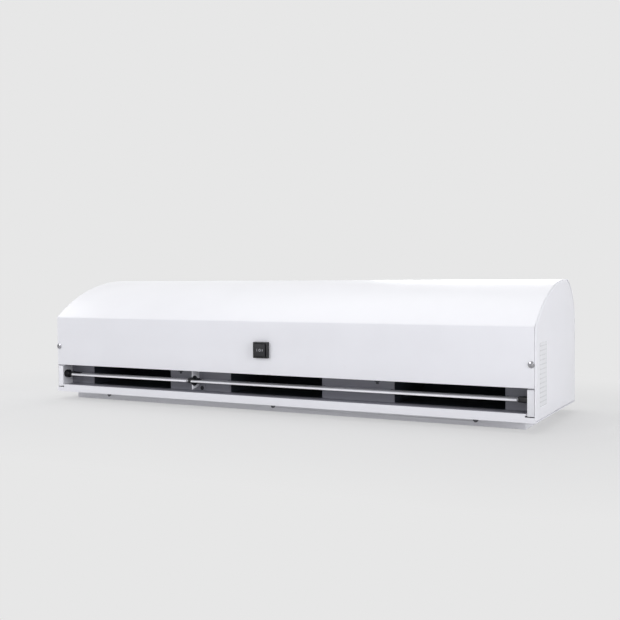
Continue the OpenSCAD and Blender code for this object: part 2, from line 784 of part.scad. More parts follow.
// A cradle: two uprights with a round saddle, on a foot, with ears for the strap.
module motor_cradle(x) {
    foot_y = 46;
    ear_y = motor_r + ear_l + 2;
    floor_z = sheet_t;
    translate([x, 0, 0]) difference() {
        union() {
            box([-cradle_x - cradle_t, axis_y - foot_y, floor_z],
                [cradle_x + cradle_t, axis_y + foot_y, floor_z + cradle_t]);
            for (s = [-1, 1]) translate([s * cradle_x, 0, 0]) along_x(-cradle_t / 2, cradle_t / 2)
                polygon([
                    [axis_y - foot_y, floor_z], [axis_y + foot_y, floor_z],
                    [axis_y + ear_y, axis_z - strap_t], [axis_y - ear_y, axis_z - strap_t]
                ]);
            for (s = [-1, 1])
                translate([0, axis_y + s * (ear_y - ear_l / 2), axis_z - strap_t - cradle_t / 2])
                    cube([2 * cradle_x + cradle_t, ear_l, cradle_t], center = true);
        }
        rod_x(-far, far, axis_y, axis_z, motor_r + 0.1);
        for (s = [-1, 1]) translate([0, axis_y + s * strap_bolt_y, 0])
            cylinder(r = screw_r + hole_gap, h = far);
    }
}

module motor_cradles() {
    in_case() color("lightslategray") for (x = motor_x) motor_cradle(x);
}

module motor_straps() {
    outer = motor_r + 0.1 + strap_t;
    in_case() color("lightslategray") for (x = motor_x) difference() {
        along_x(x - strap_w / 2, x + strap_w / 2) translate([axis_y, axis_z]) difference() {
            union() {
                intersection() {
                    circle(r = outer);
                    area([-far, -strap_t], [far, far]);
                }
                area([-outer - ear_l, -strap_t], [outer + ear_l, 0]);
            }
            circle(r = motor_r + 0.1);
        }
        for (s = [-1, 1]) translate([x, axis_y + s * strap_bolt_y, 0])
            cylinder(r = screw_r + hole_gap, h = far);
    }
}

module motor_bolts() {
    in_case() color("dimgray") for (x = motor_x, s = [-1, 1])
        translate([x, axis_y + s * strap_bolt_y, axis_z]) pan_screw(screw_l, screw_r, 0.8 * head_r, head_h);
}

// ---- electrics ----

// Run capacitors: a boxed can with a lug that lies on the underside.
module capacitors() {
    in_case() color("#e4e2da") for (x = motor_x) translate([x, capacitor_y, sheet_t]) {
        reach = capacitor_l / 2 + capacitor_lug;
        box([-capacitor_l / 2, 0, 0], [capacitor_l / 2, capacitor_w, capacitor_h]);
        box([-reach, lug_edge, 0], [reach, capacitor_w - lug_edge, lug_t]);
        for (s = [-1, 1]) translate([s * capacitor_lug, capacitor_w / 2, capacitor_h + capacitor_lug / 2])
            cube([0.75 * capacitor_lug, 0.1 * capacitor_lug, capacitor_lug], center = true);
    }
}

module terminal_block() {
    ways = 6;
    way_l = 10;
    in_case() color("ivory") translate([harness_end_x, terminal_y, sheet_t]) difference() {
        box([-11, -ways * way_l / 2, 0], [11, ways * way_l / 2, terminal_h]);
        for (i = [0:ways - 1]) translate([0, (i - (ways - 1) / 2) * way_l, 0]) for (s = [-1, 1])
            translate([s * 6.5, 0, terminal_h - 6]) cylinder(r = 2.6, h = 7);
        for (i = [1:ways - 1]) box([-12, (i - ways / 2) * way_l - 0.6, terminal_h - 5],
                                   [12, (i - ways / 2) * way_l + 0.6, terminal_h + 1]);
    }
}

module cable_grommet() {
    lip = grommet_wall + 2.5;
    in_case() color("#2b2b2b") translate([grommet_x, case_d, grommet_z]) rotate([90, 0, 0]) rotate_extrude() {
        area([cable_r, -head_h + 0.4], [cable_r + lip, 0]);
        area([cable_r, -head_h + 0.4], [cable_r + grommet_wall - 0.1, sheet_t + 2]);
        area([cable_r, sheet_t], [cable_r + lip, sheet_t + 2]);
    }
}

// A quarter bend that leaves the origin along +X and ends along +Y.
module bend(r) {
    translate([0, elbow_r, 0]) rotate(-90) rotate_extrude(angle = 90) translate([elbow_r, 0]) circle(r = r);
}

module wire_harness() {
    start_x = motor_x[0];
    top_z = sheet_t + terminal_h;
    in_case() color("#303236") {
        rod_x(start_x - harness_r, harness_end_x - elbow_r, harness_y, harness_z, harness_r);
        translate([harness_end_x - elbow_r, harness_y, harness_z]) bend(harness_r);
        rod_y(harness_end_x, harness_y + elbow_r, terminal_y - elbow_r, harness_z, harness_r);
        translate([harness_end_x, terminal_y - elbow_r, harness_z]) rotate([0, 90, 0]) rotate([0, 0, 90])
            mirror([0, 1, 0]) bend(harness_r);
        translate([harness_end_x, terminal_y, 0]) cylinder_from(top_z, harness_z - elbow_r, harness_r);
        for (x = motor_x) rod_y(x, harness_y, harness_motor_y, harness_z, 0.8 * harness_r);
        translate([switch_x, harness_y, 0]) cylinder_from(harness_z, tab_z - 0.1, 0.8 * harness_r);
    }
}

module harness_clips() {
    clip_r = harness_r + 0.15;
    floor_z = mouth_top + sheet_t;
    half = clip_half;
    in_case() color("ivory") for (x = clip_x) difference() {
        union() {
            rod_x(x - half, x + half, harness_y, harness_z, clip_r + clip_t);
            box([x - half, harness_y - half / 2, floor_z], [x + half, harness_y + half / 2, harness_z]);
            box([x - half, harness_y - clip_foot, floor_z],
                [x + half, harness_y + screw_edge, floor_z + clip_t]);
        }
        rod_x(x - half - 1, x + half + 1, harness_y, harness_z, clip_r);
    }
}

// ---- switch ----

module switch_body() {
    w = switch_w / 2;
    h = switch_h / 2;
    neck = 2.3;
    bevel = 1.5;
    pocket = [rocker_w / 2 + rocker_gap, rocker_h / 2 + rocker_gap];
    pin_reach = rocker_h / 2 + rocker_pin_l + rocker_gap;
    in_case() color("#1d1d20") translate([switch_x, 0, switch_z]) difference() {
        union() {
            box([-w, -switch_proud, -h], [w, -front_gap, h]);
            box([-w + neck, -front_gap, -h + neck], [w - neck, body_depth, h - neck]);
            for (x = [-6, 0, 6])
                box([x - 0.4, body_depth, tab_z - switch_z], [x + 0.4, body_depth + 9, 4]);
        }
        box([-pocket.x, -switch_proud - 1, -pocket.y], [pocket.x, body_depth - 5, pocket.y]);
        translate([0, rocker_axis_y, -pin_reach]) cylinder(r = rocker_pin_r + run_gap, h = 2 * pin_reach);
        for (s = [-1, 1]) {
            translate([s * w, -switch_proud, 0]) rotate(45)
                cube([bevel, bevel, 2 * switch_h], center = true);
            translate([0, -switch_proud, s * h]) rotate([45, 0, 0])
                cube([2 * switch_w, bevel, bevel], center = true);
        }
    }
}

// The rocker: a dished face over a body that narrows both ways from its pins, to clear the pocket as it tips.
module switch_rocker() {
    face_y = -switch_proud - rocker_proud;
    reach = rocker_axis_y - face_y;
    face_half = (rocker_w / 2 + rocker_gap / 2 - reach * sin(rocker_tilt)) / cos(rocker_tilt);
    waist = rocker_w / 2 - rocker_gap;
    dish_r = 34;
    in_case() color("#2c2c30") translate([switch_x, 0, switch_z]) {
        translate([0, 0, -rocker_h / 2]) linear_extrude(rocker_h) difference() {
            polygon([
                [-face_half, face_y], [face_half, face_y],
                [waist, rocker_axis_y - 2], [waist - 0.9, rocker_axis_y + 1],
                [4, rocker_axis_y + 5], [-4, rocker_axis_y + 5],
                [0.9 - waist, rocker_axis_y + 1], [-waist, rocker_axis_y - 2]
            ]);
            translate([0, face_y - dish_r + 1.3]) circle(r = dish_r, $fn = arc_steps);
        }
        translate([0, rocker_axis_y, -rocker_h / 2 - rocker_pin_l])
            cylinder(r = rocker_pin_r, h = rocker_h + 2 * rocker_pin_l);
    }
}

// ---- louvre ----

// The bracket's plate rises towards the wall, and its foot reaches down beside it to the screw.
module mid_bracket() {
    foot = 14;
    front = louvre_y - bush_d / 2 + 1;
    rear = mouth_d - seat_gap;
    in_case() color("white") difference() {
        union() {
            along_x(bracket_x - bracket_t / 2, bracket_x + bracket_t / 2) polygon([
                [front, lip_h + foot / 3], [rear, lip_h + foot * 2 / 3],
                [rear, mouth_top - seat_gap], [front, mouth_top - seat_gap]
            ]);
            box([bracket_x - bracket_t / 2, rear - bracket_t, lip_h + seat_gap],
                [bracket_x + foot, rear, lip_h + 1.5 * foot]);
        }
        rod_x(bracket_x - 2, bracket_x + 2, louvre_y, mouth_mid, bush_d / 4 + 0.1);
        rod_y(bracket_screw_x, mouth_d - 3, mouth_d + 1, bracket_screw_z, screw_r + hole_gap);
    }
}

module bracket_screw() {
    in_case() color("#1c1c1e") translate([bracket_screw_x, mouth_d - seat_gap - bracket_t, bracket_screw_z])
        rotate([90, 0, 0]) pan_screw(screw_l, screw_r, 0.7 * head_r, 0.8 * head_h);
}

// A bush: a disc that tapers to its rim, with a true bore for the pin.
module bush(thickness) {
    taper = 0.55 * bush_t;
    difference() {
        union() {
            cylinder_from(0, thickness - taper, bush_d / 2);
            translate([0, 0, thickness - taper]) cylinder(r1 = bush_d / 2, r2 = bush_d / 3, h = taper);
        }
        cylinder_from(-1, thickness + 1, pin_r + run_gap);
    }
}

module pivot_bushes() {
    in_case() color("#18181a") {
        for (s = [0, 1]) mirror([s, 0, 0]) translate([wall_x, louvre_y, mouth_mid])
            rotate([0, -90, 0]) bush(wall_bush_t);
        translate([bracket_x + bracket_t / 2, louvre_y, mouth_mid]) rotate([0, 90, 0]) bush(bush_t);
        translate([bracket_x - bracket_t / 2, louvre_y, mouth_mid]) rotate([0, -90, 0]) bush(bush_t);
        rotate_bore(bracket_x);
    }
}

// The sleeve that joins the two middle bushes through the bracket's hole.
module rotate_bore(x) {
    difference() {
        rod_x(x - bracket_t / 2, x + bracket_t / 2, louvre_y, mouth_mid, bush_d / 4);
        rod_x(x - bracket_t, x + bracket_t, louvre_y, mouth_mid, pin_r + run_gap);
    }
}

// A blade's lens-shaped section, in narrow strips between its flat edges.
function blade_crown(grow) = [
    for (i = [0:blade_steps])
        let (t = 2 * i / blade_steps - 1, rise = (blade_t - blade_edge_t) / 2 * (1 - t * t))
            [t * (blade_chord / 2 + grow), blade_edge_t / 2 + rise + grow]
];

module blade_profile(grow) {
    upper = blade_crown(grow);
    polygon(concat(upper, [for (i = [blade_steps:-1:0]) [upper[i].x, -upper[i].y]]));
}

// A blade from x0 to x1, cut down to its clips' width over its first and last stretch.
module louvre_blade(x0, x1, narrow0, narrow1) {
    in_case() color("white") translate([0, louvre_y, mouth_mid]) {
        along_x(x0 + narrow0, x1 - narrow1) blade_profile(0);
        if (narrow0 > 0) along_x(x0, x0 + narrow0) narrow_profile();
        if (narrow1 > 0) along_x(x1 - narrow1, x1) narrow_profile();
    }
}

module narrow_profile() {
    intersection() {
        blade_profile(0);
        square(2 * hub_r - 1, center = true);
    }
}

module louvre_left() { louvre_blade(-end_x + blade_inset, mid_left_x - blade_inset, left_narrow_l, 0); }

// The right blade has a nose that runs on past its bush, in front of the middle bracket.
module louvre_right() {
    x0 = mid_right_x + blade_inset;
    louvre_blade(x0, end_x - blade_inset, 0, right_narrow_l);
    in_case() color("white") translate([0, louvre_y, mouth_mid]) along_x(nose_x, x0) intersection() {
        blade_profile(0);
        area([-blade_chord / 2, -blade_t], [nose_w - blade_chord / 2, blade_t]);
    }
}

// A clip that leaves a bush at x=0 along +X: pin, round hub and two jaws over a blade's end. The jaws are
// root high beside the hub, swell further out, and taper over their last stretch.
module louvre_clip(pin_l, length, root, swell, taper) {
    jaw_w = 2 * hub_r;
    jaw_tip = blade_t / 2 + blade_grow + 0.7;
    jaw_start = bracket_gap + hub_t - 1;
    jaw_end = bracket_gap + hub_t + length;
    difference() {
        union() {
            rod_x(-pin_l, bracket_gap + 1, 0, 0, pin_r);
            rod_x(bracket_gap, bracket_gap + hub_t, 0, 0, hub_r);
            translate([0, jaw_w / 2, 0]) rotate([90, 0, 0]) linear_extrude(jaw_w) polygon([
                [jaw_start, -root], [jaw_end - taper, -swell], [jaw_end, -jaw_tip],
                [jaw_end, jaw_tip], [jaw_end - taper, swell], [jaw_start, root]
            ]);
        }
        along_x(bracket_gap + hub_t, far) blade_profile(blade_grow);
    }
}

module louvre_clips() {
    through = bush_t * 2 + bracket_t;
    wall_pin = wall_bush_t - bracket_gap;
    slim = 0.6 * jaw_swell;
    in_case() color("#18181a") translate([0, louvre_y, mouth_mid]) {
        translate([-end_x, 0, 0]) louvre_clip(wall_pin, jaw_l, slim, jaw_swell, jaw_l / 10);
        translate([end_x, 0, 0]) mirror([1, 0, 0])
            louvre_clip(wall_pin, jaw_l, jaw_swell, jaw_swell, jaw_l / 3);
        translate([mid_right_x, 0, 0]) louvre_clip(through, short_jaw_l, slim, slim, short_jaw_l / 2);
        translate([mid_left_x, 0, 0]) mirror([1, 0, 0])
            louvre_clip(0, short_jaw_l, jaw_swell, jaw_swell, 0.75 * short_jaw_l);
    }
}

wall_plate();
plate_screws();
back_panel();
left_side_panel();
right_side_panel();
front_cover();
intake_grille();
rear_panel();
outlet_deck();
cover_screws();
hood_screws();
rear_screws();
deck_bolts();
scroll_screws();
scroll_left();
scroll_mid();
scroll_right();
inlet_rings();
impeller_left();
impeller_mid();
impeller_right();
shaft_a();
shaft_b();
hub_grubs_a();
hub_grubs_b();
motor_can_a();
motor_can_b();
motor_ends_a();
motor_ends_b();
stator_a();
stator_b();
rotor_core_a();
rotor_core_b();
motor_bearings();
motor_cradles();
motor_straps();
motor_bolts();
capacitors();
terminal_block();
cable_grommet();
wire_harness();
harness_clips();
switch_body();
switch_rocker();
mid_bracket();
bracket_screw();
pivot_bushes();
louvre_left();
louvre_right();
louvre_clips();
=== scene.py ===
"""A white air curtain, dressed and lit to match its photograph.

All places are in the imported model's frame: X runs along the casing, the outlet and the switch face -Y, and
Z=0 is the wall plate's outer face. Sizes in the classes are millimetres, measured as the casing's maker
would: y from the front panel, z from the casing's underside. Casing.place turns them into the frame's metres.
"""

import logging
import math
from contextlib import contextmanager
from dataclasses import dataclass, field
from enum import Enum
from typing import Callable, Iterator, Sequence

import bmesh
import bpy
from mathutils import Matrix, Vector


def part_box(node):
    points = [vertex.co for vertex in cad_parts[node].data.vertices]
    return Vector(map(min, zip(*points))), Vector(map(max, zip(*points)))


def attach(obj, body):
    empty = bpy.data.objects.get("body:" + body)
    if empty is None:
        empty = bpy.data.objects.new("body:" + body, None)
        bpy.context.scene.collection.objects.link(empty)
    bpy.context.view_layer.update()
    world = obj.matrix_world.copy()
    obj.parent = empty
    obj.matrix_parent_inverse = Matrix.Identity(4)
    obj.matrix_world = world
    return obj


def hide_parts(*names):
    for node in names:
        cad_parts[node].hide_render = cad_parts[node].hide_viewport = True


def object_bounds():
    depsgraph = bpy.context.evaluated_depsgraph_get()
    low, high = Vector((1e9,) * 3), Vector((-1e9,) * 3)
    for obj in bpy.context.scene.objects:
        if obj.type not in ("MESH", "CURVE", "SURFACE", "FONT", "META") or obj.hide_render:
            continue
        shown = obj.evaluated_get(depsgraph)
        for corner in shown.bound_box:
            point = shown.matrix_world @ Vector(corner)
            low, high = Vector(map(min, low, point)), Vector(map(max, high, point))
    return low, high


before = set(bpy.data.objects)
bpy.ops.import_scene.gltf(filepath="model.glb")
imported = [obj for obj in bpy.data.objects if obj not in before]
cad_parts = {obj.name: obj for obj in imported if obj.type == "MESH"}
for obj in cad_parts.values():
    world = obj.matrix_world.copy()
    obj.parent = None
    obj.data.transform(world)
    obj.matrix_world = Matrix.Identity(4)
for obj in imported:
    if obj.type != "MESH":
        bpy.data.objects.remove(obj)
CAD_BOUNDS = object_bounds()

log = logging.getLogger("air_curtain")
MM = 0.001
HAIR = 1e-6  # places closer than this, in metres, are the same place
ALONG, BACK, UP = Vector((1, 0, 0)), Vector((0, 1, 0)), Vector((0, 0, 1))
Colour = tuple[float, float, float]
Socket = bpy.types.NodeSocket
Test = Callable[[Vector, Vector], bool]


def tone(red: float, green: float, blue: float) -> Colour:
    """Turn a colour as a picture shows it, 0 to 255, into the linear values that shaders take.

    Args:
        red: Red as displayed.
        green: Green as displayed.
        blue: Blue as displayed.

    Returns:
        The linear colour.
    """
    def linear(value: float) -> float:
        """Undo the display curve for one channel."""
        share = value / 255
        return share / 12.92 if share <= 0.04045 else ((share + 0.055) / 1.055) ** 2.4

    return linear(red), linear(green), linear(blue)


# ---- the bench: hand tools on one mesh at a time ----


class Pick(Enum):
    """What the bench's tools take hold of."""

    CORNERS = "VERT"
    EDGES = "EDGE"
    FACES = "FACE"


def clear_selection() -> None:
    """Deselect every object, so that the next tool acts on its own piece alone."""
    if bpy.context.object and bpy.context.object.mode != "OBJECT":
        bpy.ops.object.mode_set(mode="OBJECT")
    bpy.ops.object.select_all(action="DESELECT")


class Workpiece:
    """One mesh on the bench, shaped from a primitive and finished as a piece of the object."""

    def __init__(self, name: str) -> None:
        """Take over the primitive that was just added, with its place moved into its mesh.

        Args:
            name: The piece's name.
        """
        self.obj = bpy.context.object
        self.obj.name = self.obj.data.name = name
        bpy.ops.object.transform_apply(location=True, rotation=True, scale=True)

    @classmethod
    def block(cls, name: str, low: Vector, high: Vector) -> "Workpiece":
        """Start from a cube between two corners.

        Args:
            name: The piece's name.
            low: Its lowest corner.
            high: Its highest corner.

        Returns:
            The new workpiece.
        """
        clear_selection()
        bpy.ops.mesh.primitive_cube_add(size=1, location=(low + high) / 2)
        bpy.context.object.scale = high - low
        return cls(name)

    @classmethod
    def sheet(cls, name: str, centre: Vector, width: float, height: float, turn: Vector) -> "Workpiece":
        """Start from a flat plate.

        Args:
            name: The piece's name.
            centre: The plate's middle.
            width: Its size along its own X.
            height: Its size along its own Y.
            turn: Its rotation about X, Y and Z.

        Returns:
            The new workpiece.
        """
        clear_selection()
        bpy.ops.mesh.primitive_plane_add(size=1, location=centre, rotation=turn)
        bpy.context.object.scale = (width, height, 1)
        return cls(name)

    @classmethod
    def rod(cls, name: str, start: Vector, end: Vector, radius: float, sides: int = 32) -> "Workpiece":
        """Start from a cylinder between two points.

        Args:
            name: The piece's name.
            start: The middle of its first end.
            end: The middle of its last end.
            radius: Its radius.
            sides: How many sides it has.

        Returns:
            The new workpiece.
        """
        clear_selection()
        along = end - start
        bpy.ops.mesh.primitive_cylinder_add(
            vertices=sides, radius=radius, depth=along.length, location=(start + end) / 2,
            rotation=along.to_track_quat("Z", "Y").to_euler())
        return cls(name)

    @classmethod
    def outline(cls, name: str, points: Sequence[Vector]) -> "Workpiece":
        """Draw a closed outline by extruding one corner from point to point, and fill it.

        Args:
            name: The piece's name.
            points: The outline's corners in order.

        Returns:
            The new workpiece, one flat face.
        """
        clear_selection()
        bpy.ops.mesh.primitive_plane_add(size=0.01, location=points[0])
        piece = cls(name)
        with piece.shaping():
            bpy.ops.mesh.select_all(action="SELECT")
            bpy.ops.mesh.merge(type="CENTER")
            for here, there in zip(points, points[1:]):
                piece.pull(there - here)
            bpy.ops.mesh.select_all(action="SELECT")
            bpy.ops.mesh.edge_face_add()
        return piece

    @classmethod
    def prism(cls, name: str, points: Sequence[Vector], step: Vector) -> "Workpiece":
        """Fill a closed outline and pull it out into a solid.

        Args:
            name: The piece's name.
            points: The outline's corners in order.
            step: How far and which way it is pulled.

        Returns:
            The new workpiece.
        """
        piece = cls.outline(name, points)
        with piece.shaping():
            piece.hold(Pick.FACES, lambda at, way: True)
            piece.pull(step)
            piece.face_outwards()
        return piece

    def take_up(self) -> None:
        """Make this piece the active one, and the only one that is selected."""
        clear_selection()
        self.obj.select_set(True)
        bpy.context.view_layer.objects.active = self.obj

    @contextmanager
    def shaping(self) -> Iterator[None]:
        """Open the mesh in edit mode with nothing selected, and close it afterwards.

        Yields:
            Nothing.
        """
        self.take_up()
        bpy.ops.object.mode_set(mode="EDIT")
        bpy.ops.mesh.select_mode(type=Pick.CORNERS.value)
        bpy.ops.mesh.select_all(action="DESELECT")
        yield
        bpy.ops.object.mode_set(mode="OBJECT")

    def hold(self, what: Pick, test: Test) -> None:
        """Select the corners, edges or faces that pass a test.

        Args:
            what: What to select.
            test: Takes a part's middle and its normal, and says whether it is wanted.
        """
        bpy.ops.mesh.select_mode(type=what.value)
        bpy.ops.mesh.select_all(action="DESELECT")
        mesh = bmesh.from_edit_mesh(self.obj.data)
        mesh.normal_update()
        parts = {Pick.CORNERS: mesh.verts, Pick.EDGES: mesh.edges, Pick.FACES: mesh.faces}[what]
        for part in parts:
            if what is Pick.CORNERS:
                middle, normal = part.co, part.normal
            elif what is Pick.EDGES:
                first, last = part.verts
                middle, normal = (first.co + last.co) / 2, (last.co - first.co).normalized()
            else:
                middle, normal = part.calc_center_median(), part.normal
            if test(middle, normal):
                part.select_set(True)
        mesh.select_flush_mode()
        bmesh.update_edit_mesh(self.obj.data)

    def pull(self, step: Vector) -> None:
        """Extrude what is selected by a step."""
        bpy.ops.mesh.extrude_region_move(TRANSFORM_OT_translate={"value": step})

    def score(self, faces: Test, lines: Sequence[tuple[Vector, Vector]]) -> None:
        """Cut faces along planes, one after another.

        Args:
            faces: Picks the faces, afresh for each plane.
            lines: A point and the normal of each plane.
        """
        for point, normal in lines:
            self.hold(Pick.FACES, faces)
            bpy.ops.mesh.bisect(plane_co=point, plane_no=normal)

    def bevel(self, edges: Test, width: float, segments: int) -> None:
        """Bevel some edges.

        Args:
            edges: Picks the edges.
            width: The bevel's width, in millimetres.
            segments: How many steps it has.
        """
        self.hold(Pick.EDGES, edges)
        bpy.ops.mesh.bevel(offset=width * MM, segments=segments, affect="EDGES")

    def face_outwards(self) -> None:
        """Turn every face outwards."""
        bpy.ops.mesh.select_all(action="SELECT")
        bpy.ops.mesh.normals_make_consistent(inside=False)

    def apply(self, kind: str, **settings: object) -> "Workpiece":
        """Add a modifier with its settings and apply it.

        Args:
            kind: The modifier's type.
            **settings: Its properties.

        Returns:
            This workpiece.
        """
        self.take_up()
        bpy.ops.object.modifier_add(type=kind)
        modifier = self.obj.modifiers[-1]
        for key, value in settings.items():
            setattr(modifier, key, value)
        bpy.ops.object.modifier_apply(modifier=modifier.name)
        return self

    def ease(self, width: float, segments: int = 2, angle: float = 40) -> "Workpiece":
        """Round every edge that is sharper than an angle.

        Args:
            width: The rounding's width.
            segments: How many steps it has.
            angle: The least angle that counts as an edge, in degrees.

        Returns:
            This workpiece.
        """
        return self.apply("BEVEL", width=width, segments=segments, limit_method="ANGLE",
                          angle_limit=math.radians(angle), use_clamp_overlap=True)

    def copy(self, name: str) -> "Workpiece":
        """Copy the piece with its own mesh.

        Args:
            name: The copy's name.

        Returns:
            The copy.
        """
        self.take_up()
        bpy.ops.object.duplicate(linked=False)
        return Workpiece(name)

    def mirror(self) -> "Workpiece":
        """Turn the piece into its mirror image across the casing's middle, with its faces outwards again.

        Returns:
            This workpiece.
        """
        with self.shaping():
            bpy.ops.mesh.select_all(action="SELECT")
            bpy.ops.transform.mirror(constraint_axis=(True, False, False), center_override=(0, 0, 0))
            bpy.ops.mesh.flip_normals()
        return self

    def carve(self, tool: "Workpiece") -> "Workpiece":
        """Cut away what lies inside another workpiece, and put that one away.

        Args:
            tool: The shape to cut away.

        Returns:
            This workpiece.
        """
        self.apply("BOOLEAN", object=tool.obj, operation="DIFFERENCE", solver="EXACT")
        bpy.data.objects.remove(tool.obj)
        return self

    def absorb(self, *others: "Workpiece") -> "Workpiece":
        """Join other workpieces into this one.

        Args:
            *others: The workpieces.

        Returns:
            This workpiece.
        """
        if others:
            self.take_up()
            for other in others:
                other.obj.select_set(True)
            bpy.ops.object.join()
        return self

    def dress(self, finish: "Finish", body: str = "casing", stands_for: Sequence[str] = (),
              smooth: float = 32) -> bpy.types.Object:
        """Give the piece its finish and its body.

        Args:
            finish: What it is made of.
            body: The body that it moves with.
            stands_for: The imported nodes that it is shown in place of.
            smooth: The angle up to which its faces shade as one surface, in degrees.

        Returns:
            The finished object.
        """
        self.take_up()
        bpy.ops.object.shade_smooth_by_angle(angle=math.radians(smooth))
        self.obj.data.materials.clear()
        self.obj.data.materials.append(finish.material())
        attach(self.obj, body)
        if stands_for:
            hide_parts(*stands_for)
        log.info("%s: %d faces, %s, on %s", self.obj.name, len(self.obj.data.polygons), finish.name, body)
        return self.obj


# ---- finishes ----


class Board:
    """A node tree with short ways to add and join its nodes."""

    def __init__(self, tree: bpy.types.NodeTree) -> None:
        """Work on one node tree."""
        self.tree = tree

    @classmethod
    def blank(cls, owner: bpy.types.Material | bpy.types.World) -> "Board":
        """Give a material or world an empty node tree, and work on that.

        Args:
            owner: The material or world.

        Returns:
            The tree's board.
        """
        owner.use_nodes = True
        owner.node_tree.nodes.clear()
        return cls(owner.node_tree)

    def feed(self, socket: Socket, value: object) -> None:
        """Join an input to an output, or set its value.

        Args:
            socket: The input.
            value: An output socket, a value, or a colour without its alpha.
        """
        if isinstance(value, Socket):
            self.tree.links.new(value, socket)
        elif socket.type == "RGBA":
            socket.default_value = (*value, 1)
        else:
            socket.default_value = value

    def add(self, kind: str, settings: dict[str, object] | None = None, **inputs: object) -> bpy.types.Node:
        """Add a node, set its properties and feed its inputs.

        Args:
            kind: The node's type.
            settings: Its properties.
            **inputs: What feeds its inputs, with _ for a space in their names, or _ and their number.

        Returns:
            The node.
        """
        node = self.tree.nodes.new(kind)
        for key, value in (settings or {}).items():
            setattr(node, key, value)
        for key, value in inputs.items():
            self.feed(node.inputs[int(key[1:]) if key[0] == "_" else key.replace("_", " ")], value)
        return node

    def noise(self, place: Socket, scale: object, detail: float = 2.0, rough: float = 0.5) -> bpy.types.Node:
        """Add a cloud noise.

        Args:
            place: Its coordinates.
            scale: Its scale, a value or socket.
            detail: How many finer layers it has.
            rough: How strong they are.

        Returns:
            The noise's node.
        """
        return self.add("ShaderNodeTexNoise", Vector=place, Scale=scale, Detail=detail, Roughness=rough)

    def math(self, operation: str, first: object, second: object = 0.0) -> Socket:
        """Add a sum on one or two values.

        Args:
            operation: Which sum.
            first: A value or socket.
            second: A value or socket.

        Returns:
            The result's socket.
        """
        return self.add("ShaderNodeMath", {"operation": operation}, _0=first, _1=second).outputs[0]

    def vector(self, operation: str, *values: object) -> bpy.types.NodeOutputs:
        """Add a sum on vectors.

        Args:
            operation: Which sum.
            *values: Vectors or sockets.

        Returns:
            The node's outputs.
        """
        inputs = {f"_{index}": value for index, value in enumerate(values)}
        return self.add("ShaderNodeVectorMath", {"operation": operation}, **inputs).outputs

    def ramp(self, value: Socket, low: float, high: float, out_low: float = 0.0,
             out_high: float = 1.0) -> Socket:
        """Map a value from one range to another, clamped.

        Args:
            value: The value's socket.
            low: The range's start.
            high: The range's end.
            out_low: The result at the start.
            out_high: The result at the end.

        Returns:
            The result's socket.
        """
        return self.add("ShaderNodeMapRange", Value=value, From_Min=low, From_Max=high, To_Min=out_low,
                        To_Max=out_high).outputs["Result"]

    def blend(self, share: object, first: object, second: object) -> Socket:
        """Mix two colours.

        Args:
            share: How much of the second colour, a value or socket.
            first: A colour or socket.
            second: A colour or socket.

        Returns:
            The mixed colour's socket.
        """
        return self.add("ShaderNodeMix", {"data_type": "RGBA"}, _0=share, _6=first, _7=second).outputs[2]


class Effect(Board):
    """A surface effect that several finishes share, built once as a shader node group.

    Attributes:
        name: The group's name.
        numbers: Its number inputs, beside the coordinates.
        given: All its inputs.
        place: The coordinates that it reads.
        scale: Its scale.
    """

    name: str = "effect"
    numbers: tuple[str, ...] = ("Scale",)

    def __init__(self) -> None:
        """Open the group, and draw it when it is new."""
        old = bpy.data.node_groups.get(self.name)
        super().__init__(old or bpy.data.node_groups.new(self.name, "ShaderNodeTree"))
        if old:
            return
        face = self.tree.interface
        face.new_socket("Vector", in_out="INPUT", socket_type="NodeSocketVector")
        for key in self.numbers:
            face.new_socket(key, in_out="INPUT", socket_type="NodeSocketFloat")
        self.given = self.add("NodeGroupInput").outputs
        self.place, self.scale = self.given["Vector"], self.given["Scale"]
        results = self.draw()
        for key in results:
            face.new_socket(key, in_out="OUTPUT", socket_type="NodeSocketFloat")
        self.add("NodeGroupOutput", **results)

    def draw(self) -> dict[str, Socket]:
        """Draw the effect.

        Returns:
            Each result's name with its socket.
        """
        raise NotImplementedError


class Grain(Effect):
    """Fine grain with slow clouds under it: the orange peel of paint and the texture of mouldings."""

    name = "surface_grain"

    def draw(self) -> dict[str, Socket]:
        """Draw the grain and its clouds.

        Returns:
            The grain's height and the clouds.
        """
        fine = self.noise(self.place, self.scale, 2.0, 0.45)
        slow = self.noise(self.place, self.math("MULTIPLY", self.scale, 0.012), 3.0, 0.6)
        return {"Height": fine.outputs[0], "Clouds": slow.outputs[0]}


class Scuffs(Effect):
    """Sparse short scuffs and rubbed spots from handling."""

    name = "handling_scuffs"
    numbers = ("Scale", "Amount")

    def draw(self) -> dict[str, Socket]:
        """Draw thin scuffs where broad spots let them show.

        Returns:
            The mask of the worn places.
        """
        long = self.add("ShaderNodeMapping", Vector=self.place, Rotation=(0.4, 0.7, 0.5),
                        Scale=(1.0, 7.0, 3.0)).outputs[0]
        thin = self.ramp(self.noise(long, self.scale, 4.0, 0.7).outputs[0], 0.6, 0.78)
        where = self.ramp(self.noise(self.place, 9.0).outputs[0], 0.5, 0.7)
        both = self.math("MULTIPLY", thin, where)
        return {"Mask": self.math("MULTIPLY", both, self.given["Amount"])}


class Drawn(Effect):
    """Long parallel lines, as rolling, drawing or turning leaves them."""

    name = "drawn_lines"

    def draw(self) -> dict[str, Socket]:
        """Draw fine lines and broader streaks.

        Returns:
            The lines' height and the streaks.
        """
        lines = self.noise(self.place, self.scale, 3.0, 0.55)
        streak = self.noise(self.place, self.math("MULTIPLY", self.scale, 0.15))
        return {"Height": lines.outputs[0], "Streak": streak.outputs[0]}


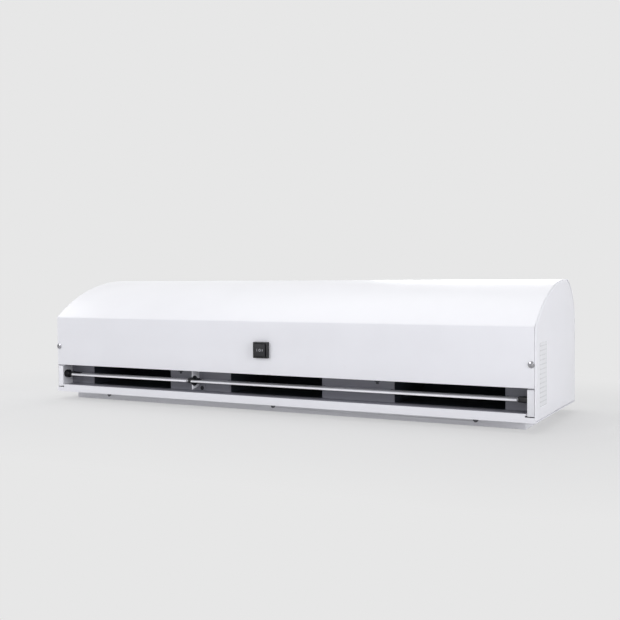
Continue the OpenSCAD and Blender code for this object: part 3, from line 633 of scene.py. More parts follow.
class Spangle(Effect):
    """The patchwork of crystals on hot-dipped zinc."""

    name = "zinc_spangle"

    def draw(self) -> dict[str, Socket]:
        """Draw crystals with bent borders.

        Returns:
            Each crystal's shade, and its height.
        """
        warp = self.noise(self.place, 60.0).outputs[1]
        bent = self.vector("MULTIPLY_ADD", warp, (0.008,) * 3, self.place)
        cells = self.add("ShaderNodeTexVoronoi", Vector=bent[0], Scale=self.scale)
        patch = self.add("ShaderNodeSeparateColor", Color=cells.outputs["Color"])
        return {"Patch": patch.outputs[0], "Height": cells.outputs["Distance"]}


class Surface(Board):
    """A material's board, with its shader and the ways in which a finish varies it."""

    def __init__(self, tree: bpy.types.NodeTree) -> None:
        """Set out the coordinates, the surface shader and the output.

        Args:
            tree: The material's node tree, still empty.
        """
        super().__init__(tree)
        self.place = self.add("ShaderNodeTexCoord").outputs["Object"]
        self.shader = self.add("ShaderNodeBsdfPrincipled", Coat_Roughness=0.18)
        self.add("ShaderNodeOutputMaterial", _0=self.shader.outputs[0])

    def show(self, **inputs: object) -> None:
        """Feed the shader's inputs, with _ for a space in their names."""
        for key, value in inputs.items():
            self.feed(self.shader.inputs[key.replace("_", " ")], value)

    def effect(self, kind: type[Effect], place: Socket | None = None,
               **inputs: float) -> bpy.types.NodeOutputs:
        """Place a shared effect in the material.

        Args:
            kind: The effect.
            place: The coordinates that it reads, unless those are the object's.
            **inputs: Its own values.

        Returns:
            Its outputs.
        """
        return self.add("ShaderNodeGroup", {"node_tree": kind().tree}, Vector=place or self.place,
                        **inputs).outputs

    def shade(self, colour: Colour, share: Socket, dark: float, light: float) -> Socket:
        """Vary the colour between a darker and a lighter shade of itself.

        Args:
            colour: The finish's colour.
            share: Where between the two shades, 0 to 1.
            dark: The darker shade's factor.
            light: The lighter shade's factor.

        Returns:
            The colour's socket, which is also joined to the shader.
        """
        mixed = self.blend(share, [value * dark for value in colour],
                           [min(1.0, value * light) for value in colour])
        self.show(Base_Color=mixed)
        return mixed

    def wear(self, colour: Colour, base: Socket, worn: Socket, factor: float) -> None:
        """Darken the colour where it is worn.

        Args:
            colour: The finish's colour.
            base: The colour elsewhere.
            worn: How worn each place is, 0 to 1.
            factor: How dark the worn places are, as a factor on the finish's colour.
        """
        self.show(Base_Color=self.blend(worn, base, [value * factor for value in colour]))

    def emboss(self, height: Socket, relief: float, strength: float = 0.5) -> None:
        """Let a height show as relief.

        Args:
            height: The height's socket, 0 to 1.
            relief: The height of 1, in metres.
            strength: How strongly it shows.
        """
        bump = self.add("ShaderNodeBump", Strength=strength, Distance=relief, Height=height)
        self.show(Normal=bump.outputs[0])


@dataclass(frozen=True)
class Finish:
    """What a piece is made of. Each kind of finish says how its surface varies.

    Attributes:
        name: The material's name.
        slot: The record's material slot, which this script does not use.
        colour: Its main colour, linear.
        rough: Its mean roughness.
        metal: How metallic it is.
        scale: The grain's fineness, in features per metre.
        relief: The grain's height, in metres.
        coat: The strength of a clear coat.
    """

    name: str
    slot: str
    colour: Colour
    rough: float = 0.5
    metal: float = 0.0
    scale: float = 600.0
    relief: float = 0.00002
    coat: float = 0.0

    def material(self) -> bpy.types.Material:
        """Build the finish's material on first use.

        Returns:
            The material.
        """
        if self.name in bpy.data.materials:
            return bpy.data.materials[self.name]
        material = bpy.data.materials.new(self.name)
        material.diffuse_color = (*self.colour, 1)
        surface = Surface.blank(material)
        surface.show(Base_Color=self.colour, Roughness=self.rough, Metallic=self.metal,
                     Coat_Weight=self.coat)
        self.vary(surface)
        return material

    def vary(self, surface: Surface) -> None:
        """Vary the surface: grain in relief, clouds in colour and roughness.

        Args:
            surface: The material's surface.
        """
        grain = surface.effect(Grain, Scale=self.scale)
        surface.shade(self.colour, surface.ramp(grain["Clouds"], 0.3, 0.7), 0.94, 1.06)
        surface.show(Roughness=surface.ramp(grain["Clouds"], 0.3, 0.7, self.rough - 0.05, self.rough + 0.06))
        surface.emboss(grain["Height"], self.relief)


@dataclass(frozen=True)
class PowderCoat(Finish):
    """Baked powder paint: orange peel, faint clouds and a few rubbed spots.

    Attributes:
        wear: How strongly the rubbed spots show.
    """

    wear: float = 0.25

    def vary(self, surface: Surface) -> None:
        """Vary the paint's shade, gloss and relief.

        Args:
            surface: The material's surface.
        """
        grain = surface.effect(Grain, Scale=self.scale)
        rubbed = surface.effect(Scuffs, Scale=45.0, Amount=self.wear)["Mask"]
        clouds = surface.ramp(grain["Clouds"], 0.3, 0.7)
        surface.wear(self.colour, surface.shade(self.colour, clouds, 0.985, 1.01), rubbed, 0.86)
        gloss = surface.ramp(clouds, 0.0, 1.0, self.rough - 0.03, self.rough + 0.04)
        surface.show(Roughness=surface.math("ADD", gloss, surface.math("MULTIPLY", rubbed, 0.2)))
        surface.emboss(grain["Height"], self.relief, 0.35)


@dataclass(frozen=True)
class Worked(Finish):
    """Metal with the lines that drawing, rolling or turning leaves along X."""

    def vary(self, surface: Surface) -> None:
        """Vary the metal along its lines.

        Args:
            surface: The material's surface.
        """
        along = surface.add("ShaderNodeMapping", Vector=surface.place, Scale=(0.04, 1.0, 1.0)).outputs[0]
        lines = surface.effect(Drawn, along, Scale=self.scale)
        dull = surface.effect(Scuffs, Scale=60.0, Amount=0.5)["Mask"]
        streak = surface.ramp(lines["Streak"], 0.3, 0.7)
        surface.wear(self.colour, surface.shade(self.colour, streak, 0.86, 1.1), dull, 0.7)
        surface.show(Roughness=surface.ramp(lines["Height"], 0.35, 0.65, self.rough - 0.08, self.rough + 0.1))
        surface.emboss(lines["Height"], self.relief, 0.4)


@dataclass(frozen=True)
class Galvanised(Finish):
    """Sheet with a zinc spangle."""

    def vary(self, surface: Surface) -> None:
        """Vary the zinc from crystal to crystal.

        Args:
            surface: The material's surface.
        """
        zinc = surface.effect(Spangle, Scale=self.scale)
        surface.shade(self.colour, zinc["Patch"], 0.82, 1.12)
        surface.show(Roughness=surface.ramp(zinc["Patch"], 0.0, 1.0, self.rough - 0.1, self.rough + 0.12))
        surface.emboss(zinc["Height"], self.relief, 0.3)


@dataclass(frozen=True)
class Laminated(Finish):
    """A stack of varnished iron sheets, seen edge on."""

    def vary(self, surface: Surface) -> None:
        """Rule the stack's edges across X.

        Args:
            surface: The material's surface.
        """
        bands = surface.add("ShaderNodeTexWave", {"bands_direction": "X"}, Vector=surface.place,
                            Scale=self.scale, Distortion=0.3).outputs["Fac"]
        surface.shade(self.colour, bands, 0.6, 1.2)
        surface.emboss(bands, self.relief, 0.6)


@dataclass(frozen=True)
class RuledFilm(Finish):
    """A blank label's film, ruled with faint empty lines.

    Attributes:
        pitch: From one line to the next, in metres.
        line: The line's share of the pitch.
        ink: How dark the lines are, as a factor on the film's colour.
    """

    pitch: float = 0.0068
    line: float = 0.26
    ink: float = 0.78

    def vary(self, surface: Surface) -> None:
        """Rule the lines across the film's height.

        Args:
            surface: The material's surface.
        """
        grain = surface.effect(Grain, Scale=self.scale)
        height = surface.add("ShaderNodeSeparateXYZ", Vector=surface.place).outputs["Z"]
        phase = surface.math("FRACT", surface.math("DIVIDE", height, self.pitch))
        inked = surface.math("LESS_THAN", phase, self.line)
        broken = surface.ramp(grain["Clouds"], 0.42, 0.6, 0.35)
        surface.shade(self.colour, surface.math("MULTIPLY", inked, broken), 1.0, self.ink)
        surface.emboss(grain["Height"], self.relief)


WHITE = PowderCoat("white_powder_coat", "white_paint", tone(238, 238, 241), 0.38, scale=900, relief=0.00003)
LINING = PowderCoat("lining_grey_coat", "grey_paint", tone(140, 140, 148), 0.5, scale=900, relief=0.00003)
BLADE = PowderCoat("white_coated_extrusion", "white_aluminium", tone(250, 250, 252), 0.3, scale=1400,
                   relief=0.00001, wear=0.1)
BLACK_COAT = PowderCoat("black_coat", "black_paint", tone(48, 53, 61), 0.6, scale=800, relief=0.00004)
ZINC = Galvanised("galvanised_sheet", "zinc_plate", tone(196, 198, 202), 0.42, 1.0, 90, 0.00002)
STEEL = Worked("bright_steel", "steel", tone(205, 206, 210), 0.24, 1.0, 900, 0.00001)
CHROME = Worked("plated_screw", "steel", tone(168, 168, 172), 0.16, 1.0, 900, 0.000005)
PLATED = Worked("dull_plated_screw", "steel", tone(104, 104, 108), 0.32, 1.0, 900, 0.00001)
DARK_STEEL = Worked("blackened_steel", "dark_steel", tone(62, 62, 66), 0.4, 0.9, 700, 0.00002)
CAST = Finish("cast_aluminium", "motor_alu", tone(182, 184, 188), 0.45, 1.0, 700, 0.00006)
IRON = Laminated("motor_laminations", "laminations", tone(120, 92, 74), 0.5, 0.5, 100.0, 0.0001)
IVORY = Finish("ivory_moulding", "ivory_plastic", tone(226, 221, 203), 0.42, scale=1500)
RUBBER = Finish("black_rubber", "black_rubber", tone(28, 28, 29), 0.7, scale=1800, relief=0.00005)
MOULDING = Finish("black_moulding", "black_plastic", tone(17, 17, 20), 0.42, scale=2200, relief=0.00003)
ROCKER = Finish("rocker_moulding", "rocker_plastic", tone(18, 18, 23), 0.5, scale=2600, relief=0.00002)
MARK = Finish("mark_inlay", "rocker_plastic", tone(168, 168, 172), 0.5, scale=2600)
LABEL = RuledFilm("blank_label_film", "white_paint", tone(228, 229, 232), 0.22, scale=1200, relief=0.000005,
                  coat=0.4)


# ---- the casing ----


@dataclass
class Casing:
    """The sheet casing: its sizes, and the cover and side panels with real bends.

    Attributes:
        crease: Height of the crease between the front panel and the hood.
        hood_back: From the hood's rear edge to the rear face.
        hood_flat: Width of the flat strip along the hood's rear edge.
        rear_radius: Radius of the grille's curve.
        sheet: The sheet's thickness.
        seat: The gap between two sheets that lie on each other.
        flange: Width of the side panels' flanges.
        lip: Height of the lip.
        mouth_top: Height of the front panel's lower edge.
        lip_cut: How far the lip's ends are cut down under the side panels' flanges.
        bend: Outer radius of the side panels' bends.
        crease_bend: Outer radius of the crease.
        cover_short: How far the cover stops short of each side panel's face.
        joggle: How far the side panels' front flanges step back to pass behind the cover.
        joggle_below: How far under the cover's edge they do.
        joggle_slope: The height over which they do.
        flange_gap: The gap under the lower ends of those flanges.
        notch_depth: How far back the side panels' lower flanges are cut away for the lip.
        arc_steps: How many steps each arc of the section has.
        switch_hole: The switch's opening, left, right, low and high.
        label_zone: The label's pressed field, front, rear, low and high.
        label_sink: How deep the field is pressed.
        label_edge: Width of the field's sloping edge.
        label_margin: From the field's edge to the label's.
        label_under: How far the label's face lies under the panel's.
        label_corner: Radius of the label's corners.
        foot_zone: The grey sheet that paints shade on the outlet's floor, from its front edge to its rear
            one.
        foot_faces: The foot's lower and upper face, over the lip's height.
        foot_corner: How far the foot's front corners are cut off.
        hem_rise: How far the lip's folded edge stands over the outlet's floor.
        hem_short: How far it stops short of each flange.
        length: Length of the casing, as packed.
        depth: Its depth, as packed.
        height: Its height over its underside, as packed.
        front: The front panel's place in the frame.
        foot: The underside's place in the frame.
    """

    crease: float = 138.0
    hood_back: float = 55.0
    hood_flat: float = 15.4
    rear_radius: float = 80.0
    sheet: float = 1.2
    seat: float = 0.15
    flange: float = 12.5
    lip: float = 11.0
    mouth_top: float = 50.0
    lip_cut: float = 3.0
    bend: float = 2.4
    crease_bend: float = 3.0
    cover_short: float = 1.9
    joggle: float = 5.0
    joggle_below: float = 2.2
    joggle_slope: float = 0.4
    flange_gap: float = 1.35
    notch_depth: float = 42.65
    arc_steps: int = 36
    switch_hole: tuple[float, float, float, float] = (-13.75, 9.75, 79.75, 102.25)
    label_zone: tuple[float, float, float, float] = (23.5, 65.5, 19.0, 115.0)
    label_sink: float = 0.25
    label_edge: float = 0.5
    label_margin: float = 1.2
    label_under: float = 0.08
    label_corner: float = 2.0
    foot_zone: tuple[float, float] = (12.0, 38.8)
    foot_faces: tuple[float, float] = (0.02, 1.0)
    foot_corner: float = 4.0
    hem_rise: float = 2.0
    hem_short: float = 1.2
    length: float = field(init=False)
    depth: float = field(init=False)
    height: float = field(init=False)
    front: float = field(init=False)
    foot: float = field(init=False)

    def __post_init__(self) -> None:
        """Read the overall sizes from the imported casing."""
        low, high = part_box("front_cover")
        rear_low, rear_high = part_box("rear_panel")
        self.length = (high.x - low.x) / MM
        self.front = low.y / MM
        self.foot = rear_low.z / MM
        self.depth = rear_high.y / MM - self.front
        self.height = high.z / MM - self.foot

    def place(self, x: float, y: float, z: float) -> Vector:
        """Turn a place on the casing, in millimetres, into the frame's metres."""
        return Vector((x, y + self.front, z + self.foot)) * MM

    def hood_arc(self, inset: float) -> list[tuple[float, float]]:
        """Return the hood's section from its crease to its rear edge.

        Args:
            inset: How far under the outer face.

        Returns:
            Points as y and z.
        """
        end_y = self.depth - self.hood_back
        top_y = end_y - self.hood_flat
        rise = self.height - self.crease
        radius = (rise ** 2 + top_y ** 2) / (2 * rise)
        inner = radius - inset
        low_angle = math.asin((top_y - inset) / inner)
        points = []
        for step in range(self.arc_steps + 1):
            angle = low_angle * (1 - step / self.arc_steps)
            points.append((top_y - inner * math.sin(angle), self.height - radius + inner * math.cos(angle)))
        return points + [(end_y, self.height - inset)]

    def rear_arc(self, inset: float) -> list[tuple[float, float]]:
        """Return the grille's section from the hood's rear edge down to the rear face.

        Args:
            inset: How far under the outer face.

        Returns:
            Points as y and z.
        """
        centre_y = self.depth - self.rear_radius
        reach = self.depth - self.hood_back - centre_y
        centre_z = self.height - math.sqrt(self.rear_radius ** 2 - reach ** 2)
        inner = self.rear_radius - inset
        top = math.acos(min(1.0, (self.height - inset - centre_z) / inner))
        points = []
        for step in range(self.arc_steps + 1):
            angle = top + (math.pi / 2 - top) * step / self.arc_steps
            points.append((centre_y + inner * math.sin(angle), centre_z + inner * math.cos(angle)))
        return points

    def build(self) -> None:
        """Build the cover, both side panels, the label, the grey sheet of painted shade on the outlet's floor
        and the lip's hem.
        """
        self.cover().dress(WHITE, stands_for=["front_cover"])
        right = self.side_panel()
        left = right.copy("side_panel_left").mirror()
        self.label_recess(right)
        for piece, node in ((right, "right_side_panel"), (left, "left_side_panel")):
            piece.apply("SOLIDIFY", thickness=self.sheet * MM, offset=-1, use_even_offset=True)
            piece.ease(0.2 * MM).dress(WHITE, stands_for=[node])
        self.label().dress(LABEL)
        # A grey sheet on the outlet's floor: painted shade.
        self.painted_shade_foot().dress(LINING)
        self.hem().dress(WHITE)

    def hem(self) -> Workpiece:
        """Fold the lip's upper edge back on itself, a little over the outlet's floor.

        Returns:
            The hem, between the side panels' flanges.
        """
        half = self.length / 2 - self.flange - self.hem_short
        low = self.place(-half, 0, self.lip)
        high = self.place(half, 2 * self.sheet, self.lip + self.hem_rise)
        piece = Workpiece.block("lip_hem", low, high)
        with piece.shaping():
            piece.bevel(lambda at, way: abs(way.x) > 0.99 and at.z > high.z - 0.1 * MM, 0.9 * self.sheet, 5)
        return piece

    def painted_shade_foot(self) -> Workpiece:
        """Lay a grey foot in the outlet wall's paint on the outlet's floor: painted shade, darkening the
        floor's rear where shade falls under the wall.

        Returns:
            The foot.
        """
        front, rear = self.foot_zone
        under, over = self.foot_faces
        half = self.length / 2 - self.flange
        low, high = self.place(-half, front, self.lip + under), self.place(half, rear, self.lip + over)
        # Grey sheet over the white floor, standing in for the shade on it: painted shade.
        piece = Workpiece.block("outlet_painted_shade_foot", low, high)
        with piece.shaping():
            piece.bevel(lambda at, way: abs(way.z) > 0.99 and at.y < high.y - MM, self.foot_corner, 1)
        return piece.ease(0.2 * MM)

    def cover(self) -> Workpiece:
        """Fold the front panel and hood from one sheet, with the switch's opening.

        Returns:
            The cover.
        """
        half = self.length / 2 - self.cover_short
        middle = (self.mouth_top + self.crease) / 2
        piece = Workpiece.sheet("front_cover_and_hood", self.place(0, 0, middle), 2 * half * MM,
                                (self.crease - self.mouth_top) * MM, Vector((math.pi / 2, 0, 0)))
        crease = self.place(0, 0, self.crease)
        left, right, low, high = self.switch_hole
        with piece.shaping():
            piece.hold(Pick.EDGES, lambda at, way: abs(at.z - crease.z) < MM)
            here = crease
            for y, z in self.hood_arc(0)[1:]:
                there = self.place(0, y, z)
                piece.pull(there - here)
                here = there
            piece.bevel(lambda at, way: (at - crease).length < 0.2 * MM, self.crease_bend * 0.47, 5)
            start, end = self.place(left, 0, low), self.place(right, 0, high)
            piece.score(lambda at, way: way.y < -0.999,
                        ((start, ALONG), (end, ALONG), (start, UP), (end, UP)))
            piece.hold(Pick.FACES, lambda at, way: start.x < at.x < end.x and start.z < at.z < end.z
                       and way.y < -0.999)
            bpy.ops.mesh.delete(type="FACE")
        piece.apply("SOLIDIFY", thickness=self.sheet * MM, offset=-1, use_even_offset=True)
        return piece.ease(0.3 * MM, 3)

    def side_panel(self) -> Workpiece:
        """Draw the right side panel, bend its flanges in and end the front one in the lip's cut.

        Returns:
            The panel as a single skin, before it gets its thickness.
        """
        inset = self.sheet + self.seat
        outer = self.length / 2
        rear = self.depth - inset
        ring = [(inset, inset), *self.hood_arc(inset)[:-1], *self.rear_arc(inset), (rear, inset)]
        points = [self.place(outer - self.flange, y, z) for y, z in ring]
        piece = Workpiece.outline("side_panel_right", points)
        face_x = outer * MM
        notch = self.place(0, self.notch_depth, self.lip - self.lip_cut + self.flange_gap)
        with piece.shaping():
            piece.hold(Pick.FACES, lambda at, way: True)
            piece.pull(Vector((self.flange * MM, 0, 0)))
            piece.hold(Pick.FACES, lambda at, way: abs(way.x) > 0.9 and at.x < face_x - MM)
            bpy.ops.mesh.delete(type="ONLY_FACE")
            piece.face_outwards()
            piece.hold(Pick.FACES, lambda at, way: way.x < -0.9 and at.x > face_x - MM)
            mesh = bmesh.from_edit_mesh(piece.obj.data)
            if any(face.select for face in mesh.faces):
                bpy.ops.mesh.select_all(action="SELECT")
                bpy.ops.mesh.flip_normals()
            piece.bevel(lambda at, way: abs(at.x - face_x) < HAIR, self.bend, 5)
            piece.score(lambda at, way: abs(way.x) < 0.1, ((notch, UP), (notch, BACK)))
            piece.hold(Pick.FACES, lambda at, way: abs(way.x) < 0.1 and at.y < notch.y and at.z < notch.z)
            bpy.ops.mesh.delete(type="FACE")
            self.step_back(piece, outer, inset)
        return piece

    def step_back(self, piece: Workpiece, outer: float, inset: float) -> None:
        """Step the front flange back where it passes behind the cover.

        Args:
            piece: The panel, open in edit mode.
            outer: Its face, from the casing's middle.
            inset: Its flange's face, from the cover's front.
        """
        flat = self.place(0, inset, 0).y
        bend_x = (outer - self.bend) * MM
        start = self.place(0, 0, self.mouth_top - self.joggle_below)
        end = self.place(0, 0, self.crease)
        piece.score(lambda at, way: way.y < -0.99 and abs(at.y - flat) < HAIR,
                    ((start, UP), (start - UP * self.joggle_slope * MM, UP)))
        piece.hold(Pick.CORNERS, lambda at, way: abs(at.y - flat) < HAIR and at.x < bend_x + 10 * HAIR
                   and start.z - HAIR < at.z < end.z + MM)
        bpy.ops.transform.translate(value=(0, self.joggle * MM, 0))

    def label_recess(self, piece: Workpiece) -> None:
        """Press a shallow field for the blank label into the right panel.

        Args:
            piece: The right panel.
        """
        front, rear, low, high = self.label_zone
        face_x = self.length / 2 * MM
        start, end = self.place(0, front, low), self.place(0, rear, high)
        with piece.shaping():
            piece.score(lambda at, way: way.x > 0.999 and abs(at.x - face_x) < HAIR,
                        ((start, BACK), (end, BACK), (start, UP), (end, UP)))
            piece.hold(Pick.FACES, lambda at, way: way.x > 0.999 and start.y < at.y < end.y
                       and start.z < at.z < end.z)
            bpy.ops.mesh.inset(thickness=self.label_edge * MM, depth=-self.label_sink * MM)

    def label(self) -> Workpiece:
        """Cut a blank label for the pressed field, with rounded corners.

        Returns:
            The label.
        """
        front, rear, low, high = self.label_zone
        outer, margin = self.length / 2, self.label_margin
        piece = Workpiece.block(
            "blank_label", self.place(outer - self.label_sink - 0.05, front + margin, low + margin),
            self.place(outer - self.label_under, rear - margin, high - margin))
        with piece.shaping():
            piece.bevel(lambda at, way: abs(way.x) > 0.99, self.label_corner, 5)
        return piece


# ---- the louvre ----


@dataclass
class Louvre:
    """The two blades, white-coated flats with round edges, cut narrow where the clips hold them.

    Attributes:
        chord: The blades' width.
        thickness: Their thickness.
        edge_steps: How many steps its round edges have.
        narrow: Width of the narrow ends.
        left_narrow: Length of the left blade's narrow end, at the left side panel.
        right_narrow: Length of the right blade's narrow end, at the right side panel.
        nose: Width of the right blade's nose, in front of the middle bracket.
        nose_length: How far the nose runs on past the rest of the blade.
    """

    chord: float = 26.0
    thickness: float = 3.4
    edge_steps: int = 6
    narrow: float = 7.0
    left_narrow: float = 9.5
    right_narrow: float = 15.7
    nose: float = 5.0
    nose_length: float = 8.6

    def build(self) -> None:
        """Build both blades."""
        left, low, high = self.blade("louvre_left", "blade_left")
        self.slim(left, low, low + Vector((self.left_narrow * MM, 0, 0)))
        right, low, high = self.blade("louvre_right", "blade_right")
        self.slim(right, high - Vector((self.right_narrow * MM, 0, 0)), high)
        self.trim(right, low, low.x, low.x + self.nose_length * MM, self.nose - self.chord / 2, self.chord)
        for piece, node in ((left, "louvre_left"), (right, "louvre_right")):
            piece.ease(0.25 * MM, 2, 60).dress(BLADE, "louvre", [node])

    def blade(self, node: str, name: str) -> tuple[Workpiece, Vector, Vector]:
        """Draw out one blade over its packed length.

        Args:
            node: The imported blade.
            name: The piece's name.

        Returns:
            The blade, and its axis's two ends.
        """
        low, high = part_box(node)
        axis_y, axis_z = (low.y + high.y) / 2, (low.z + high.z) / 2
        start, end = Vector((low.x, axis_y, axis_z)), Vector((high.x, axis_y, axis_z))
        reach = Vector((0, self.chord / 2, self.thickness / 2)) * MM
        piece = Workpiece.block(name, start - reach, end + reach)
        with piece.shaping():
            piece.bevel(lambda at, way: abs(way.x) > 0.99, self.thickness * 0.49, self.edge_steps)
        return piece, start, end

    def slim(self, piece: Workpiece, start: Vector, end: Vector) -> None:
        """Cut a stretch of a blade down to its narrow width.

        Args:
            piece: The blade.
            start: The stretch's first end, on the axis.
            end: Its last end.
        """
        self.trim(piece, start, start.x, end.x, self.narrow / 2, self.chord)
        self.trim(piece, start, start.x, end.x, -self.chord, -self.narrow / 2)

    def trim(self, piece: Workpiece, axis: Vector, x0: float, x1: float, low: float, high: float) -> None:
        """Saw a strip off one edge of a blade.

        Args:
            piece: The blade.
            axis: Any point on the blade's axis.
            x0: The strip's first end, in metres.
            x1: The strip's last end, in metres.
            low: The strip's front edge, in millimetres from the axis.
            high: The strip's rear edge, in millimetres from the axis.
        """
        over = 1.5 * MM
        ends = piece.obj.bound_box[0][0], piece.obj.bound_box[6][0]
        x0 = x0 - over if abs(x0 - ends[0]) < over else x0
        x1 = x1 + over if abs(x1 - ends[1]) < over else x1
        saw = Workpiece.block("saw", Vector((x0, axis.y + low * MM, axis.z - self.thickness * MM)),
                              Vector((x1, axis.y + high * MM, axis.z + self.thickness * MM)))
        piece.carve(saw)


# ---- what carries the louvre ----


@dataclass
class Clips:
    """The black clips on the blades' ends: each a socket on a hub, with a pin that turns in a bush.

    Attributes:
        louvre: The blades.
        hub: Radius of the hubs.
        hub_length: Length of the hubs.
        pin: Radius of the pins.
        gap: From a bush to the hub beside it.
        wall_bush: Thickness of the bushes on the side panels.
        plate: Thickness of the middle bracket's plate.
        plate_bush: Thickness of the bush on each side of it.
        half: Half a socket's width and height.
        left_reach: Length of the left clip's socket, open to the front.
        right_reach: Length of the right clip's socket, closed at the front.
        middle_reach: Length of the middle clip's left socket, closed at the front.
        nose_reach: Length of its right socket, which hides behind the right blade's nose.
        nose_half: Half that socket's height.
        wall: The sockets' wall in front of a blade.
        root: The sockets' wall between a blade's end and the hub.
        play: The gap over and under a blade.
        corner: The sockets' edge radius.
        slim: A slim tip's share of its socket's height.
        blunt: A blunt tip's share.
    """

    louvre: Louvre
    hub: float = 5.0
    hub_length: float = 4.0
    pin: float = 2.0
    gap: float = 0.3
    wall_bush: float = 9.0
    plate: float = 1.5
    plate_bush: float = 4.5
    half: float = 5.0
    left_reach: float = 22.0
    right_reach: float = 21.2
    middle_reach: float = 7.7
    nose_reach: float = 4.0
    nose_half: float = 3.4
    wall: float = 1.8
    root: float = 1.5
    play: float = 0.2
    corner: float = 2.2
    slim: float = 0.6
    blunt: float = 0.84

    def build(self) -> None:
        """Build the three clips, the middle one with a socket each way."""
        low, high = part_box("louvre_clips")
        bush_low, bush_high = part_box("pivot_bushes")
        plate_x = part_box("mid_bracket")[0].x
        wall = (self.wall_bush + self.gap) * MM
        length = self.hub_length * MM
        axis = (low + high) / 2
        left = bush_low.x + wall
        clip = self.socket("clip_left", axis, left + length, self.left_reach, self.half, self.slim, False)
        clip.absorb(self.axle(axis, low.x, left + length, self.pin),
                    self.axle(axis, left, left + length, self.hub))
        clip.dress(MOULDING, "louvre", ["louvre_clips"])
        right = bush_high.x - wall
        clip = self.socket("clip_right", axis, right, -self.right_reach, self.half, self.blunt, True)
        clip.absorb(self.axle(axis, right - MM, high.x, self.pin)).dress(MOULDING, "louvre")
        spool_left = plate_x - (self.plate_bush + self.gap) * MM
        spool_right = plate_x + (self.plate + self.plate_bush + self.gap) * MM
        clip = self.socket("clip_middle", axis, spool_left, -self.middle_reach, self.half, self.slim, True)
        nose = self.socket("nose_socket", axis, spool_right + length, self.nose_reach, self.nose_half,
                           self.slim, False)
        clip.absorb(nose, self.axle(axis, spool_left - MM, spool_right + length, self.pin),
                    self.axle(axis, spool_right, spool_right + length, self.hub))
        clip.dress(MOULDING, "louvre")

    def socket(self, name: str, axis: Vector, root: float, reach: float, half: float, tip: float,
               closed: bool) -> Workpiece:
        """Mould a socket that tapers away from its hub, with a slot for the blade's end.

        Args:
            name: The piece's name.
            axis: A point on the louvre's axis.
            root: Where the socket begins along X, in metres.
            reach: Its length towards +X, in millimetres, below zero the other way.
            half: Half its height, in millimetres.
            tip: Its tip's share of that height.
            closed: Whether its front is closed.

        Returns:
            The socket.
        """
        way = math.copysign(1.0, reach)
        far = root + reach * MM
        deep = self.half * MM
        piece = Workpiece.block(name, Vector((min(root, far), axis.y - deep, axis.z - half * MM)),
                                Vector((max(root, far), axis.y + deep, axis.z + half * MM)))
        with piece.shaping():
            piece.hold(Pick.FACES, lambda at, normal: normal.x * way > 0.99)
            bpy.ops.transform.resize(value=(1, 1, tip), center_override=(far, axis.y, axis.z))
        piece.ease(min(self.corner, half * 0.5) * MM, 4)
        slot = (self.louvre.thickness / 2 + self.play) * MM
        inner = root + way * self.root * MM
        outer = far + way * 2 * MM
        front = axis.y - deep + (self.wall if closed else -1.0) * MM
        return piece.carve(Workpiece.block(
            "slot", Vector((min(inner, outer), front, axis.z - slot)),
            Vector((max(inner, outer), axis.y + deep + MM, axis.z + slot))))

    def axle(self, axis: Vector, start: float, end: float, radius: float) -> Workpiece:
        """Turn a pin or hub on the louvre's axis.

        Args:
            axis: A point on the axis.
            start: Its first end along X, in metres.
            end: Its last end.
            radius: Its radius, in millimetres.

        Returns:
            The pin or hub.
        """
        piece = Workpiece.rod("axle", Vector((start, axis.y, axis.z)), Vector((end, axis.y, axis.z)),
                              radius * MM)
        return piece.ease(min(0.5, radius * 0.2) * MM, 3)


@dataclass
class Bracket:
    """The plate between the blades: white, open at the front round the bush, on a grey foot.

    Attributes:
        sheet: The plate's thickness.
        low_front: How far its front corner stands over the foot's lower edge.
        low_rear: How far its rear corner does.
        foot: Height of the foot.
        foot_corner: Radius of the foot's free corners.
        notch: Radius of the opening round the bush.
        collar: Radius of the bush's collar in the opening.
        collar_over: How far the collar stands out of the plate on each side.
        neck: Radius of the bush's neck.
        arc_steps: How many steps the opening's arc has.
    """

    sheet: float = 1.5
    low_front: float = 4.5
    low_rear: float = 9.2
    foot: float = 20.9
    foot_corner: float = 2.5
    notch: float = 9.1
    collar: float = 8.7
    collar_over: float = 0.2
    neck: float = 3.9
    arc_steps: int = 20

    def build(self) -> None:
        """Build the plate, its foot and the collar in its opening."""
        low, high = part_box("mid_bracket")
        clip_low, clip_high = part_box("louvre_clips")
        axis = (clip_low + clip_high) / 2
        sheet, over = self.sheet * MM, self.collar_over * MM
        self.plate(low, high, axis).dress(WHITE, stands_for=["mid_bracket"])
        foot = Workpiece.block("bracket_foot", Vector((low.x + sheet, high.y - sheet, low.z)),
                               Vector((high.x, high.y, low.z + self.foot * MM)))
        with foot.shaping():
            foot.bevel(lambda at, way: abs(way.y) > 0.99 and at.x > high.x - MM, self.foot_corner, 4)
        foot.ease(0.2 * MM).dress(LINING)
        start = Vector((low.x - over, axis.y, axis.z))
        end = Vector((low.x + sheet + over, axis.y, axis.z))
        collar = Workpiece.rod("bracket_collar", start, end, self.collar * MM, 48)
        collar.carve(Workpiece.rod("bore", start - ALONG * MM, end + ALONG * MM, self.neck * MM))
        collar.ease(0.1 * MM, 2).dress(MOULDING)

    def plate(self, low: Vector, high: Vector, axis: Vector) -> Workpiece:
        """Cut the plate from sheet, with a round opening towards the front.

        Args:
            low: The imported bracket's lowest corner.
            high: Its highest corner.
            axis: A point on the louvre's axis.

        Returns:
            The plate.
        """
        opening = self.notch * MM
        half = math.pi - math.acos((axis.y - low.y) / opening)
        ring = [(low.y, low.z + self.low_front * MM), (high.y, low.z + self.low_rear * MM), (high.y, high.z),
                (low.y, high.z)]
        for step in range(self.arc_steps + 1):
            angle = half * (1 - 2 * step / self.arc_steps)
            ring.append((axis.y + opening * math.cos(angle), axis.z + opening * math.sin(angle)))
        piece = Workpiece.prism("bracket_plate", [Vector((low.x, y, z)) for y, z in ring],
                                ALONG * self.sheet * MM)
        return piece.ease(0.25 * MM, 2, 50)


# ---- the switch ----


